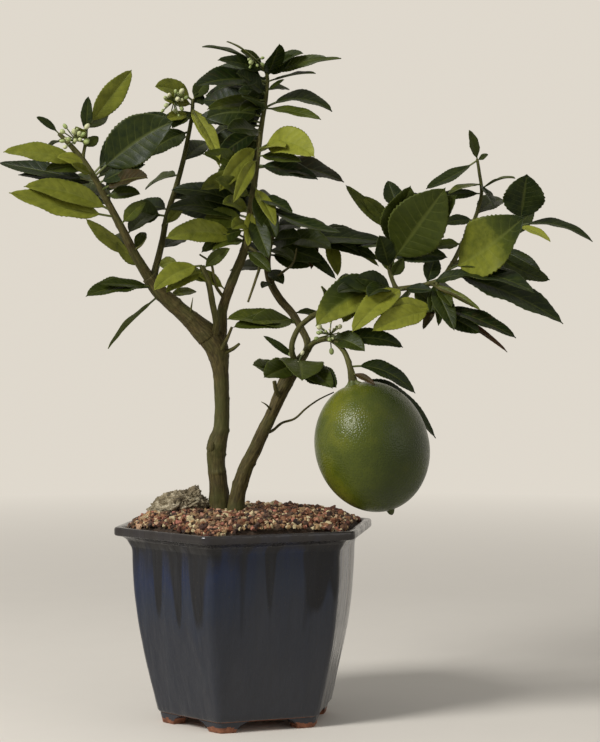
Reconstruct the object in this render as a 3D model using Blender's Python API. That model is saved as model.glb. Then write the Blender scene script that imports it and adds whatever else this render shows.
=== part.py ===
"""Lemon bonsai in a hexagonal glazed pot.

Two slim citrus trunks stand in a gravelled pot. The left one forks into a limb that leans out to the
left and an upright centre limb. The right one carries a green lemon on a short stalk, a leader that
crosses behind the centre limb, and the long branch of the right crown.

The design is in millimetres, with the pot's axis at x = y = 0, the table at z = 0 and the front at -y.
MM turns it into metres. The finished part is moved so that its box stands centred on the origin.
"""

import math

import bmesh
import bpy
from mathutils import Vector, noise

MM = 0.001
GAP = 0.35                  # clearance between pieces that touch

# Pot: corner directions in degrees, from the front (-y) towards +x
POT_TURN = 18.8             # how far the pot is turned from corner-on
POT_WIDE = 3.6              # how far each corner of the front and back faces is moved outwards
POT_RIM_RADIUS = 74.0       # corner radius over the rim
POT_RIM_TOP = 106.4
POT_LIP = 4.6               # height of the rim's outer face and width of its top
POT_BODY_TOP = 91.9         # where the wall turns out into the rim
POT_BODY_RADIUS = 64.0
POT_BASE_RADIUS = 50.0
POT_BASE = 5.8              # height of the underside, so of the feet
POT_WALL = 4.8
POT_FLOOR = 12.0
POT_CORNER = 5.0            # rounding of the vertical corners
DRAIN_RADIUS = 7.0
FOOT_DEPTH = 8.0
FOOT_CHAMFER = 1.5          # how much is cut off the foot's corner
FOOT_SPLAY = 2.0            # how much shorter the foot is inside than outside
# Profile of each foot: height, how far it stands in from the wall, length along the sides of its corner
FOOT_LEVELS = ((0, 1.4, 8.5), (2.2, 1.0, 9.5), (4.2, 0.4, 12.0), (POT_BASE, 0.1, 16.0),
               (POT_BASE + 1.0, 0, 16.5))
EDGE_ROUND = 1.6            # rounding of the underside's edge
RIM_ROUND = 1.2
SIDE_TO_CORNER = 1.15       # corner radius gained per unit of distance between two sides

# Filling
SOIL_TOP = 96.0
INNER_STATIONS = (POT_FLOOR + 3, 35, 55, 75, 90, SOIL_TOP, 101)     # heights that shape the inside
GRAVEL_EDGE = 104.0         # height of the gravel along the rim
GRAVEL_RISE = 9.0           # how much higher the middle lies
GRAVEL_BULGE = 5            # power of the heap's profile: steep at the rim, nearly flat in the middle
TRUNK_POCKET = 0.4          # clearance of the hole that a trunk stands in

# Stone beside the trunks
ROCK_CENTRE = (-37.0, 6.0, 113.0)
ROCK_HALF = (17.0, 12.0, 13.0)

# Fruit, hanging from the end of its stalk
LEMON_AXIS = (0.282, 0.0, -0.96)
LEMON_LENGTH = 73.0         # with the nipple
LEMON_RADIUS = 30.4
LEMON_NIPPLE = (2.8, 2.6)   # length and radius at its foot

# Leaves
LEAF_THICK = 0.9
PETIOLE = 0.6               # radius of the leaf stalk
PETIOLE_PART = 0.14         # share of a leaf's length that is stalk
LEAF_CUP = 0.22             # how far the two halves are folded up along the midrib

# Stems: carried by, where on it (in waypoints, "end" for its end), then waypoints (x, y, z, radius)
STEMS = {
    "trunk_left": (None, 0, (
        (-14.2, 4, 90, 5.8), (-14.2, 4, 108, 5.3), (-14.6, 4, 125, 4.6), (-16, 4, 139, 4.5),
        (-15.4, 4, 149, 5.0), (-13.2, 4, 158, 3.9), (-12.9, 4, 173, 3.6), (-13.5, 4, 188, 3.9),
        (-15.5, 4, 201, 4.9), (-20.5, 3, 208.5, 4.6))),
    "limb_left": ("trunk_left", "end", (
        (-29, 1, 216.5, 4.1), (-38, -1, 224.5, 3.8), (-46, -4, 232, 3.5), (-52, -6, 240, 3.2))),
    "branch_left_outer": ("limb_left", "end", (
        (-58.5, -10, 251, 2.5), (-65, -15, 264.5, 2.2), (-72.5, -18, 279, 1.9), (-78.5, -20, 290.5, 1.7),
        (-86, -21, 302.5, 1.5), (-94, -21, 311.5, 1.3), (-98.5, -21, 316, 1.1))),
    "branch_left_inner": ("limb_left", 3.7, (
        (-47.5, 2, 250, 1.9), (-45.5, 9, 261, 1.7), (-43.5, 16, 274, 1.6), (-38.5, 23, 292, 1.5),
        (-35.5, 27, 304, 1.4), (-32.5, 30, 319, 1.2), (-30.5, 31, 331, 1.1), (-30, 32, 340, 1.0))),
    "twig_left_top": ("branch_left_outer", 5.0, (
        (-84.5, -20, 311, 0.9), (-84, -19, 319, 0.8))),
    "twig_left_low": ("trunk_left", 8.5, (
        (-15.5, -4, 214, 1.4), (-17.5, -7, 226, 1.2), (-19.5, -9, 237, 1.1), (-23, -10, 246, 1.0))),
    "limb_centre": ("trunk_left", 8.0, (
        (-13.2, 4, 212, 3.4), (-12.5, 2, 222, 3.0), (-9, -1, 233, 2.9), (-4.5, -2, 244, 2.8),
        (0, -2.5, 256, 2.6), (2.5, -1, 272, 2.4), (4.5, 2, 288, 2.1), (6.5, 5, 304.5, 1.9),
        (8.5, 8, 321, 1.7), (11, 9, 337, 1.5), (12, 9, 349, 1.3), (10, 8, 355, 1.1))),
    "trunk_right": (None, 0, (
        (-5, -5, 90, 5.0), (-5, -5, 108, 4.5), (-4, -5, 122, 4.1), (0.3, -6, 136, 3.9),
        (6, -7, 148, 3.6), (10.5, -8, 158, 3.4), (14.8, -8, 166.5, 3.2), (18.4, -7, 175, 3.5),
        (22.2, -6, 183, 4.1), (26.6, -4, 190.5, 3.7), (29.7, -3, 195, 2.8))),
    "leader_right": ("trunk_right", "end", (
        (33.5, 0, 200.5, 2.0), (33.5, 5, 206, 1.9), (30, 10, 213, 2.0), (25.5, 15, 220.5, 2.2),
        (18.3, 20, 229, 2.2), (13.2, 25, 238.5, 2.1), (11.5, 30, 249, 2.0), (13, 34, 260, 1.8),
        (16.5, 38, 271.5, 1.5))),
    "branch_mid": ("leader_right", 8.0, (
        (24, 38, 263.5, 1.3), (36, 40, 265, 1.1), (47.5, 40, 264, 1.0))),
    "branch_right": ("trunk_right", 9.3, (
        (25.3, -9, 201, 1.5), (26.8, -8, 208, 1.5), (31, -5, 214.5, 1.5), (40, -2, 221, 1.5),
        (53, 0, 227, 1.5), (67, 0, 231, 1.4), (82, -1, 233.5, 1.4), (96, -3, 235.5, 1.4),
        (106, -5, 238.5, 1.3))),
    "twig_right_inner": ("branch_right", 7.0, (
        (78.7, 5, 244, 1.2), (79, 10, 256.5, 1.1), (81.7, 14, 268.5, 1.0), (84, 16, 277, 0.9))),
    "twig_right_up": ("branch_right", "end", (
        (112.5, 0, 247.3, 1.3), (119.2, 9, 259.5, 1.2), (126.2, 15, 273, 1.1), (130, 18, 286.5, 1.0),
        (128.7, 18, 298.5, 0.9), (127.5, 17, 305.5, 0.8))),
    "twig_right_outer": ("twig_right_up", 1.0, (
        (121, 5, 250, 1.2), (133, 10, 253.3, 1.1), (143.8, 11, 260.5, 1.0), (150, 8, 269, 0.9))),
    "twig_right_low": ("branch_right", 8.8, (
        (104, -7, 229, 1.0), (102.5, -8, 221, 0.9))),
    "fruit_stalk": ("leader_right", 1.0, (
        (38, -7, 205, 1.5), (46, -16, 206.5, 1.5), (53, -25, 200.5, 1.4), (56.2, -30, 192, 1.5),
        (58, -30, 183.6, 2.6))),
}

# Leaves of each stem: where on it, tip (x, y, z), width, the way the upper side faces, lift of the middle
LEAVES = {
    "branch_left_outer": (
        (4.7, (-126, -34, 306.5), 13, (0, -1, 0.5), 2),
        (4.0, (-134, -2, 302.5), 12, (0, -0.9, 0.8), 0),
        (2.5, (-122, -42, 283.5), 17, (0, -1, 0.6), -1),
        (4.2, (-37, -38, 321), 26, (0.2, -1, 0.4), 3),
        (3.6, (-49.5, -46, 291), 13, (0, -1, 0.5), 2),
        (0.8, (-86, -8, 271), 9, (-0.5, -1, -0.2), 0),
        (3.0, (-106, 28, 293), 18, (-0.2, -0.3, 1), 4)),
    "twig_left_top": (
        (2.0, (-60, -16, 350.5), 13, (0.3, -1, 0), 0),),
    "branch_left_inner": (
        (3.0, (-67, 14, 277), 15, (0, -1, 0.4), 0),
        (7.3, (-14, 14, 301), 8, (0.5, -1, 0.2), 3)),
    "limb_left": (
        (3.3, (-83, -32, 231), 15, (0, -0.7, 1), 2),
        (2.9, (-74, -20, 202.5), 12, (-0.74, 0, 0.67), 1)),
    "twig_left_low": (
        (4.0, (-47.5, -30, 233), 13, (-0.2, -1, 0.6), 3),),
    "limb_centre": (
        (11.9, (-23, -4, 365), 9, (0.3, -0.2, 1), 3),
        (11.4, (52, -6, 358), 10, (0, -0.8, 1), 1),
        (10.8, (-26, -20, 342.5), 18, (0, -1, 0.6), 2),
        (9.7, (47.5, 4, 330.5), 16, (0, -0.6, 1), 6),
        (8.3, (37.3, -28, 303.5), 18, (0, -1, 0.4), 6),
        (7.7, (54, 2, 292.2), 19, (0, -0.8, 0.8), 4),
        (6.7, (51.5, -24, 263.5), 12, (0, -0.6, 1), -3.5),
        (5.2, (-41, -26, 261), 15, (0, -1, 0.5), 4),
        (5.7, (-42, -3, 277), 16, (0, -0.6, 0.8), 6),
        (9.8, (-25, 32, 339.5), 17, (0, -1, 0.4), 1),
        (9.1, (-21, 42, 322), 15, (0, -1, 0.4), 2)),
    "leader_right": (
        (3.4, (-9.5, -11, 217.5), 16, (0, -0.8, 1), 1),
        (8.4, (77, 30, 262), 14, (0, -0.7, 1), 0)),
    "trunk_right": (
        (9.0, (5, -34, 193.5), 15, (0, -1, 0.7), -2),
        (9.6, (49, -30, 181.5), 15, (0.1, -1, 0.6), 0)),
    "branch_right": (
        (7.0, (38, -30, 214), 24, (-0.2, -1, 0.5), 7),),
    "fruit_stalk": (
        (4.0, (92, -20, 178), 12, (0.2, -0.8, 0.9), 5),),
    "twig_right_low": (
        (1.9, (68, -36, 211.5), 15, (0, -1, 0.6), 2),
        (1.5, (145, -22, 207.5), 13, (0.2, -0.7, 0.9), 1.5)),
    "twig_right_inner": (
        (1.2, (106, -30, 286), 31, (0, -1, 0.2), 0),
        (2.6, (54.8, 12, 291), 7, (-0.4, -1, 0.3), 0)),
    "twig_right_up": (
        (5.9, (98.5, 4, 288.5), 10, (-0.3, -0.7, 0.8), -1),
        (0.7, (146, -40, 271), 32, (-0.3, -1, 0.3), -3),
        (0.5, (169, -34, 216.5), 21, (0.2, -0.8, 0.8), 3)),
    "twig_right_outer": (
        (4.0, (152.5, -4, 295.5), 23, (0.1, -1, 0.1), 0),
        (3.9, (189.5, 4, 259.7), 11, (0, -0.4, 1), 5)),
}


class Stem:
    """The axis of a tapering stem: a smooth curve through its waypoints, with a radius at each."""

    def __init__(self, points, radii, heading=None):
        self.points = points
        self.radii = radii
        self.heading = heading
        first_run = points[1] - points[0]
        self.lead = points[1] - heading * first_run.length * 2 if heading else points[0] - first_run
        self.samples = [self.at(i / 3) for i in range((len(points) - 1) * 3 + 1)]

    def at(self, along):
        """Axis point and radius at a place counted in waypoints, so 2.5 is midway from 2 to 3."""
        last = len(self.points) - 1
        i = min(int(along), last - 1)
        u = along - i
        before = self.points[i - 1] if i else self.lead
        a, b = self.points[i], self.points[i + 1]
        after = self.points[i + 2] if i + 2 <= last else b * 2 - a
        point = 0.5 * (2 * a + (b - before) * u + (2 * before - 5 * a + 4 * b - after) * u ** 2
                       + (3 * a - before - 3 * b + after) * u ** 3)
        return point, self.radii[i] + (self.radii[i + 1] - self.radii[i]) * u

    def direction(self, along):
        """Unit tangent of the axis."""
        if self.heading and along < 0.02:
            return self.heading
        step = 0.02
        low = max(along - step, 0)
        high = min(along + step, len(self.points) - 1)
        return (self.at(high)[0] - self.at(low)[0]).normalized()

    def clearance(self, point):
        """Distance from a point to the stem's surface, negative inside; the end is flat."""
        end, end_radius = self.samples[-1]
        ahead = self.direction(len(self.points) - 1)
        beyond = (point - end).dot(ahead)
        if beyond > 0:
            aside = (point - end - ahead * beyond).length - end_radius
            return math.hypot(beyond, max(aside, 0))
        nearest = math.inf
        for (a, ra), (b, rb) in zip(self.samples, self.samples[1:]):
            run = b - a
            u = min(max((point - a).dot(run) / run.length_squared, 0), 1)
            nearest = min(nearest, (point - a - run * u).length - ra - (rb - ra) * u)
        return nearest

    def seat(self, root, along, towards):
        """The plane that lies on the stem's surface beside a root: its normal and distance."""
        normal = towards - towards.project(self.direction(along))
        normal.normalize()
        near = [(p, r) for p, r in self.samples if (p - root).length < 3 * self.at(along)[1]]
        return normal, max((p - root).dot(normal) + r for p, r in near) + GAP


def material(name, colour, roughness, coat=0.0):
    """A plain Principled material."""
    result = bpy.data.materials.new(name)
    result.use_nodes = True
    shader = result.node_tree.nodes["Principled BSDF"]
    shader.inputs["Base Color"].default_value = (*colour, 1)
    shader.inputs["Roughness"].default_value = roughness
    shader.inputs["Coat Weight"].default_value = coat
    result.diffuse_color = (*colour, 1)
    return result


def add_object(name, mesh_data, finish, smooth=True):
    """Make an object of a bmesh given in millimetres."""
    bmesh.ops.recalc_face_normals(mesh_data, faces=mesh_data.faces)
    bmesh.ops.scale(mesh_data, vec=(MM, MM, MM), verts=mesh_data.verts)
    mesh = bpy.data.meshes.new(name)
    mesh_data.to_mesh(mesh)
    mesh_data.free()
    if smooth:
        mesh.shade_smooth()
        mesh.set_sharp_from_angle(angle=math.radians(40))
    mesh.materials.append(finish)
    result = bpy.data.objects.new(name, mesh)
    bpy.context.scene.collection.objects.link(result)
    return result


def loft(rings, closed=False):
    """Skin rings of equal counts; the ends are capped, or joined to each other when closed."""
    mesh_data = bmesh.new()
    made = [[mesh_data.verts.new(p) for p in ring] for ring in rings]
    pairs = list(zip(made, made[1:]))
    if closed:
        pairs.append((made[-1], made[0]))
    for low, high in pairs:
        for i in range(len(low)):
            j = (i + 1) % len(low)
            mesh_data.faces.new((low[i], low[j], high[j], high[i]))
    if not closed:
        for ring in (made[0], made[-1]):
            centre = mesh_data.verts.new(sum((v.co for v in ring), Vector()) / len(ring))
            for i in range(len(ring)):
                mesh_data.faces.new((ring[i], ring[(i + 1) % len(ring)], centre))
    return mesh_data


def cut(target, operation, tool):
    """Union with, or subtraction of, a hidden tool object."""
    modifier = target.modifiers.new(tool.name, "BOOLEAN")
    modifier.operation = operation
    modifier.solver = "EXACT"
    modifier.object = tool
    tool.hide_render = True
    tool.display_type = "WIRE"


def corner_directions():
    """The six corner directions of the pot in plan, as unit vectors."""
    half = (-90, -30 - POT_WIDE, 30 + POT_WIDE)
    angles = [math.radians(a + POT_TURN) for a in half]
    angles += [a + math.pi for a in angles]
    return [Vector((math.sin(a), -math.cos(a), 0)) for a in angles]


def hexagon(radius, z, rounding=POT_CORNER, steps=3):
    """A ring of the pot's plan with rounded corners."""
    corners = [d * radius for d in corner_directions()]
    ring = []
    for i, corner in enumerate(corners):
        back = (corners[i - 1] - corner).normalized()
        ahead = (corners[(i + 1) % 6] - corner).normalized()
        half = back.angle(ahead) / 2
        centre = corner + (back + ahead).normalized() * rounding / math.sin(half)
        start = (corner + back * rounding / math.tan(half) - centre).normalized()
        end = (corner + ahead * rounding / math.tan(half) - centre).normalized()
        for k in range(steps + 1):
            ring.append(centre + start.slerp(end, k / steps) * rounding + Vector((0, 0, z)))
    return ring


def circle_like(ring, radius, z):
    """A round ring whose points lie in the same directions as those of a given ring."""
    flat = [Vector((p.x, p.y, 0)).normalized() * radius for p in ring]
    return [p + Vector((0, 0, z)) for p in flat]


def wall_radius(z):
    """Corner radius of the pot's outside below the rim, which swells towards the top."""
    rise = (z - POT_BASE) / (POT_BODY_TOP - POT_BASE)
    return POT_BASE_RADIUS + (POT_BODY_RADIUS - POT_BASE_RADIUS) * math.sin(rise * math.pi / 2)


def inner_radius(z):
    """Corner radius of the pot's inside, which opens out under the rim."""
    flare = max(0.0, (z - POT_BODY_TOP + 4) / (POT_RIM_TOP - POT_BODY_TOP + 4))
    spread = POT_RIM_RADIUS - POT_BODY_RADIUS - (POT_LIP - POT_WALL) * SIDE_TO_CORNER
    inside = wall_radius(min(z, POT_BODY_TOP)) - POT_WALL * SIDE_TO_CORNER
    return inside + spread * math.sin(flare * math.pi / 2)


def pot_rings():
    """Rings over the underside, up the outside, over the rim, down the inside and through the drain."""
    underside = hexagon(POT_BASE_RADIUS - EDGE_ROUND, POT_BASE)
    rings = [circle_like(underside, DRAIN_RADIUS, POT_BASE), underside]
    body_steps = 7
    low = POT_BASE + EDGE_ROUND
    for k in range(body_steps + 1):
        z = low + (POT_BODY_TOP - low) * k / body_steps
        rings.append(hexagon(wall_radius(z), z))
    cove_width = POT_RIM_RADIUS - RIM_ROUND - POT_BODY_RADIUS
    cove_height = POT_RIM_TOP - POT_LIP - POT_BODY_TOP
    for turn in (25, 50, 75, 90):
        swing = math.radians(turn)
        radius = POT_BODY_RADIUS + cove_width * (1 - math.cos(swing))
        rings.append(hexagon(radius, POT_BODY_TOP + cove_height * math.sin(swing)))
    rings.append(hexagon(POT_RIM_RADIUS, POT_RIM_TOP - POT_LIP + RIM_ROUND))
    rings.append(hexagon(POT_RIM_RADIUS, POT_RIM_TOP - RIM_ROUND))
    rings.append(hexagon(POT_RIM_RADIUS - RIM_ROUND, POT_RIM_TOP))
    rings.append(hexagon(POT_RIM_RADIUS - POT_LIP, POT_RIM_TOP))
    rings.append(hexagon(inner_radius(POT_RIM_TOP - 1), POT_RIM_TOP - 1))
    for z in reversed(INNER_STATIONS):
        rings.append(hexagon(inner_radius(z), z))
    floor = hexagon(inner_radius(POT_FLOOR) - 2.5, POT_FLOOR)
    rings += [floor, circle_like(floor, DRAIN_RADIUS, POT_FLOOR)]
    return rings


def foot(direction, before, after):
    """A bracket foot under one corner, whose arms along the corner's two sides widen towards the pot."""
    rings = []
    for z, shrink, arm in FOOT_LEVELS:
        radius = POT_BASE_RADIUS - EDGE_ROUND - shrink
        corner = direction * radius
        back = (before * radius - corner).normalized()
        ahead = (after * radius - corner).normalized()
        inward = (back + ahead).normalized() * FOOT_DEPTH
        plan = (corner + back * FOOT_CHAMFER, corner + ahead * FOOT_CHAMFER, corner + ahead * arm,
                corner + ahead * (arm - FOOT_SPLAY) + inward, corner + inward * 1.1,
                corner + back * (arm - FOOT_SPLAY) + inward, corner + back * arm)
        rings.append([p + Vector((0, 0, z)) for p in plan])
    return loft(rings)


def make_pot(glaze):
    """The fired pot: wall, flared rim, drained floor and six feet in one piece."""
    pot = add_object("pot", loft(pot_rings(), closed=True), glaze)
    corners = corner_directions()
    for i, direction in enumerate(corners):
        block = foot(direction, corners[i - 1], corners[(i + 1) % 6])
        cut(pot, "UNION", add_object(f"foot_tool_{i + 1}", block, glaze, smooth=False))


def gravel_height(x, y):
    """Height of the gravel's surface, heaped above the rim in the middle."""
    reach = math.hypot(x, y) / inner_radius(GRAVEL_EDGE)
    return GRAVEL_EDGE + GRAVEL_RISE * max(0.0, 1 - reach ** GRAVEL_BULGE)


def make_filling(soil_finish, gravel_finish):
    """Soil up to just under the rim, and the gravel on it, with holes where the trunks stand."""
    inset = 1.5 * GAP       # along the corner radius, which leaves GAP where the wall leans most
    floor = POT_FLOOR + GAP
    rings = [hexagon(inner_radius(floor) - 3.5, floor)]
    rings += [hexagon(inner_radius(z) - inset, z) for z in INNER_STATIONS if z <= SOIL_TOP]
    soil = add_object("soil", loft(rings), soil_finish)
    rings = [hexagon(inner_radius(z) - inset, z) for z in (SOIL_TOP + GAP, 101, GRAVEL_EDGE)]
    for share in (0.92, 0.82, 0.7, 0.45, 0.2):
        ring = hexagon(inner_radius(GRAVEL_EDGE) * share, 0, rounding=POT_CORNER * share)
        rings.append([Vector((p.x, p.y, gravel_height(p.x, p.y))) for p in ring])
    gravel = add_object("gravel", loft(rings), gravel_finish)
    for name in ("trunk_left", "trunk_right"):
        x, y, z, radius = STEMS[name][2][0]
        turned = [(x + (radius + TRUNK_POCKET) * math.cos(a), y + (radius + TRUNK_POCKET) * math.sin(a))
                  for a in (math.tau * i / 16 for i in range(16))]
        rings = [[Vector((px, py, h)) for px, py in turned] for h in (z - GAP, POT_RIM_TOP + 20)]
        pocket = add_object(f"pocket_tool_{name}", loft(rings), soil_finish, smooth=False)
        cut(soil, "DIFFERENCE", pocket)
        cut(gravel, "DIFFERENCE", pocket)


def make_rock(finish):
    """A craggy stone lying on the gravel: a ball broken by facets and ridges."""
    mesh_data = bmesh.new()
    bmesh.ops.create_icosphere(mesh_data, subdivisions=3, radius=1)
    centre = Vector(ROCK_CENTRE)
    for vert in mesh_data.verts:
        way = vert.co.normalized()
        crag = 1 + 0.22 * noise.noise(way * 2.1 + Vector((7, 3, 1))) - 0.16 * abs(noise.noise(way * 4.3))
        point = centre + Vector(way[i] * ROCK_HALF[i] * crag for i in range(3))
        point.z = max(point.z, gravel_height(point.x, point.y) + GAP)
        vert.co = point
    add_object("rock", mesh_data, finish)


def make_lemon(finish):
    """The fruit: an egg-shaped body, turned about its axis, with a small nipple at the lower end."""
    heading = Vector(LEMON_AXIS).normalized()
    top = Vector(STEMS["fruit_stalk"][2][-1][:3]) + heading * GAP
    turn = Vector((0, 0, -1)).rotation_difference(heading)
    nipple_length, nipple_radius = LEMON_NIPPLE
    body = LEMON_LENGTH - nipple_length
    steps = 16
    profile = []
    for k in range(1, steps):
        swing = math.pi * k / steps
        profile.append((body * (1 - math.cos(swing)) / 2, LEMON_RADIUS * math.sin(swing)))
    profile.insert(0, (0.0, 2.2))
    profile += [(body - 0.2, nipple_radius), (body + nipple_length * 0.5, nipple_radius * 0.55),
                (body + nipple_length, nipple_radius * 0.3)]
    rings = []
    for along, radius in profile:
        rings.append([top + heading * along + turn @ Vector((math.cos(a), math.sin(a), 0)) * radius
                      for a in (math.tau * i / 24 for i in range(24))])
    add_object("lemon", loft(rings), finish)


def plan_stems():
    """The axes of all stems, each starting from the one that carries it."""
    planned = {}
    for name, (carrier, place, waypoints) in STEMS.items():
        points = [Vector(w[:3]) for w in waypoints]
        radii = [w[3] for w in waypoints]
        heading = None
        if carrier and place == "end":
            parent = planned[carrier]
            heading = parent.direction(len(parent.points) - 1)
            points.insert(0, parent.points[-1] + heading * GAP)
            radii.insert(0, parent.radii[-1])
        elif carrier:
            point, _ = planned[carrier].at(place)
            points.insert(0, point)
            radii.insert(0, radii[0])
        planned[name] = Stem(points, radii, heading)
    return planned


def first_place(test, reach, steps=60):
    """The first place from 0 to reach where a test turns true, found by steps and then by halving."""
    high = next((reach * k / steps for k in range(1, steps + 1) if test(reach * k / steps)), reach)
    low = high - reach / steps
    for _ in range(6):
        middle = (low + high) / 2
        if test(middle):
            high = middle
        else:
            low = middle
    return high


def make_stem(name, stem, carrier, place, finish):
    """A tapering tube with round sections; one that leaves its carrier's side is cut to lie flat on it."""
    sides = 16 if "trunk" in name else 12 if "limb" in name else 8
    last = len(stem.points) - 1

    def surface(along, turn):
        point, radius = stem.at(along)
        tangent = stem.direction(along)
        side = tangent.cross(Vector((0, 1, 0.1))).normalized()
        return point + (side * math.cos(turn) + side.cross(tangent) * math.sin(turn)) * radius

    turns = [math.tau * i / sides for i in range(sides)]
    starts = [0.0] * sides
    if carrier and place != "end":
        root = stem.points[0]
        normal, distance = carrier.seat(root, place, stem.points[1] - root)
        starts = [first_place(lambda s, t=turn: (surface(s, t) - root).dot(normal) >= distance, 1.6)
                  for turn in turns]
    rings = [[surface(s, t) for s, t in zip(starts, turns)]]
    first = max(starts)
    if first > 0:
        rings.append([surface(s + (first + 0.1 - s) * 0.5, t) for s, t in zip(starts, turns)])
        first += 0.1
        rings.append([surface(first, t) for t in turns])
    count = max(2, round((last - first) * 2))
    for k in range(1, count + 1):
        along = first + (last - first) * k / count
        rings.append([surface(along, t) for t in turns])
    return add_object(name, loft(rings), finish)


def make_leaf(name, stem, place, tip, width, facing, lift, finish):
    """One leaf: a stalk that widens into a pointed blade, folded a little along its midrib."""
    root, _ = stem.at(place)
    tip = Vector(tip)
    middle = (root + tip) / 2 + Vector((0, 0, 2 * lift))

    def midline(u):
        return root * (1 - u) ** 2 + middle * 2 * u * (1 - u) + tip * u ** 2

    start = first_place(lambda u: stem.clearance(midline(u)) >= PETIOLE, 0.5)
    stations = [0, 0.1, PETIOLE_PART, 0.22, 0.32, 0.45, 0.58, 0.7, 0.82, 0.92, 1]
    rings = []
    for share in stations:
        u = start + (1 - start) * share
        tangent = (midline(min(u + 0.01, 1)) - midline(u - 0.01)).normalized()
        across = tangent.cross(Vector(facing)).normalized()
        up = across.cross(tangent)
        blade = max(0.0, (share - PETIOLE_PART) / (1 - PETIOLE_PART))
        half = PETIOLE + (width / 2 - PETIOLE) * math.sin(math.pi * blade ** 0.85) ** 0.8
        thick = PETIOLE if blade == 0 else LEAF_THICK / 2
        if share == 1:
            half, thick = 0.25, 0.2
        raised = up * LEAF_CUP * (half - PETIOLE)
        spine = midline(u)
        rings.append([spine - across * half + raised, spine + up * thick,
                      spine + across * half + raised, spine - up * thick])
    return add_object(name, loft(rings), finish)


def make_tree(bark, twig_bark, leaf_finish):
    """All the wood, and the large leaves that it carries."""
    planned = plan_stems()
    for name, (carrier, place, _) in STEMS.items():
        finish = bark if "trunk" in name or "limb" in name else twig_bark
        make_stem(name, planned[name], planned.get(carrier), place, finish)
    for stem_name, rows in LEAVES.items():
        for number, (place, tip, width, facing, lift) in enumerate(rows, 1):
            name = f"leaf_{stem_name}_{number}"
            make_leaf(name, planned[stem_name], place, tip, width, facing, lift, leaf_finish)


def stand_on_origin():
    """Move everything under one empty so that the part's box stands centred on the origin."""
    bpy.context.view_layer.update()
    shown = [o for o in bpy.data.objects if not o.hide_render]
    corners = [o.matrix_world @ Vector(c) for o in shown for c in o.bound_box]
    low = Vector(min(c[i] for c in corners) for i in range(3))
    high = Vector(max(c[i] for c in corners) for i in range(3))
    frame = bpy.data.objects.new("bonsai", None)
    bpy.context.scene.collection.objects.link(frame)
    for o in list(bpy.data.objects):
        if o is not frame:
            o.parent = frame
    frame.location = (-(low.x + high.x) / 2, -(low.y + high.y) / 2, -low.z)


def main():
    for old in list(bpy.data.objects):
        bpy.data.objects.remove(old, do_unlink=True)
    make_pot(material("glazed_stoneware", (0.035, 0.05, 0.09), 0.15, coat=1.0))
    make_filling(material("soil", (0.06, 0.04, 0.025), 0.95),
                 material("gravel", (0.36, 0.2, 0.13), 0.85))
    make_rock(material("stone", (0.38, 0.34, 0.27), 0.9))
    make_lemon(material("lemon_skin", (0.13, 0.24, 0.025), 0.3))
    make_tree(material("bark", (0.14, 0.12, 0.04), 0.75),
              material("young_bark", (0.13, 0.16, 0.035), 0.6),
              material("leaf", (0.06, 0.13, 0.02), 0.4))
    stand_on_origin()


main()
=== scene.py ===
"""Lemon bonsai in a hexagonal glazed pot: the dressed model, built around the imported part.

Lengths are in millimetres in the part's design frame: the pot's axis is at x = y = 0, the table at z = 0
and the front at -y. Skin.build turns them into the frame's metres.
"""

import math

import bmesh
import bpy
import numpy as np
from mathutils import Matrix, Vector, noise


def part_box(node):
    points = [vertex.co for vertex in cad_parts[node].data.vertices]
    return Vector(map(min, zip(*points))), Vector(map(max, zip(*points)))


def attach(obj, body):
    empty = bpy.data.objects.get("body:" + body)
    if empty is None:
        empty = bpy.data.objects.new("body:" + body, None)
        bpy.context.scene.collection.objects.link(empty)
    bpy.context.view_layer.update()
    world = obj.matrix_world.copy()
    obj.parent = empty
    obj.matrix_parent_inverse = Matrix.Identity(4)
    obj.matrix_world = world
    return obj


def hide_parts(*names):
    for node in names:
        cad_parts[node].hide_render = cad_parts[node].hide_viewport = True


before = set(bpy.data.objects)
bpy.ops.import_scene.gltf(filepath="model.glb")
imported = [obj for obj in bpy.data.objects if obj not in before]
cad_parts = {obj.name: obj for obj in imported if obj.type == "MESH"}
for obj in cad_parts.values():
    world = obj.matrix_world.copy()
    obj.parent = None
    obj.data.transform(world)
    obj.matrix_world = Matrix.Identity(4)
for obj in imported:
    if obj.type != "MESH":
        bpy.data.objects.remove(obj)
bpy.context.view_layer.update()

MM = 0.001
POT_LOW, POT_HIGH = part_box("pot")
ORIGIN = np.array([(POT_LOW.x + POT_HIGH.x) / 2, (POT_LOW.y + POT_HIGH.y) / 2, POT_LOW.z])
SEED = 20

# Pot, as in the part; angles in degrees
POT_TURN = 18.8             # how far its plan is turned round
POT_WIDE = 3.6              # how much further than in a regular hexagon two opposite sides reach, each way
POT_RIM_RADIUS = 74.0
POT_RIM_TOP = 106.4
POT_LIP = 4.6
POT_BODY_TOP = 91.9
POT_BODY_RADIUS = 64.0
POT_BASE_RADIUS = 50.0
POT_BASE = 5.8
POT_WALL = 4.8
POT_FLOOR = 12.0
POT_CORNER = 5.0            # radius of the rounded corners
CORNER_STEPS = 8
SIDE_STEPS = 7
EDGE_ROUND = 1.6
RIM_ROUND = 1.2
SIDE_TO_CORNER = 1.15       # corner radius gained per unit of distance between two sides
DRAIN_RADIUS = 7.0
# Heights at which the inner wall and the feet have a ring of points
INNER_STATIONS = (POT_RIM_TOP - 1.2, 102, 99, 96, 90, 75, 55, 35, POT_FLOOR + 3)
FOOT_STATIONS = (0, 0.3, 0.8, 1.4, 2.0, 2.5, 3.0, 3.5, 4.0, 4.5, 4.9, 5.3, POT_BASE, POT_BASE + 0.6)
FOOT_DEPTH = 8.0
FOOT_CHAMFER = 1.5
FOOT_SPLAY = 2.0
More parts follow.
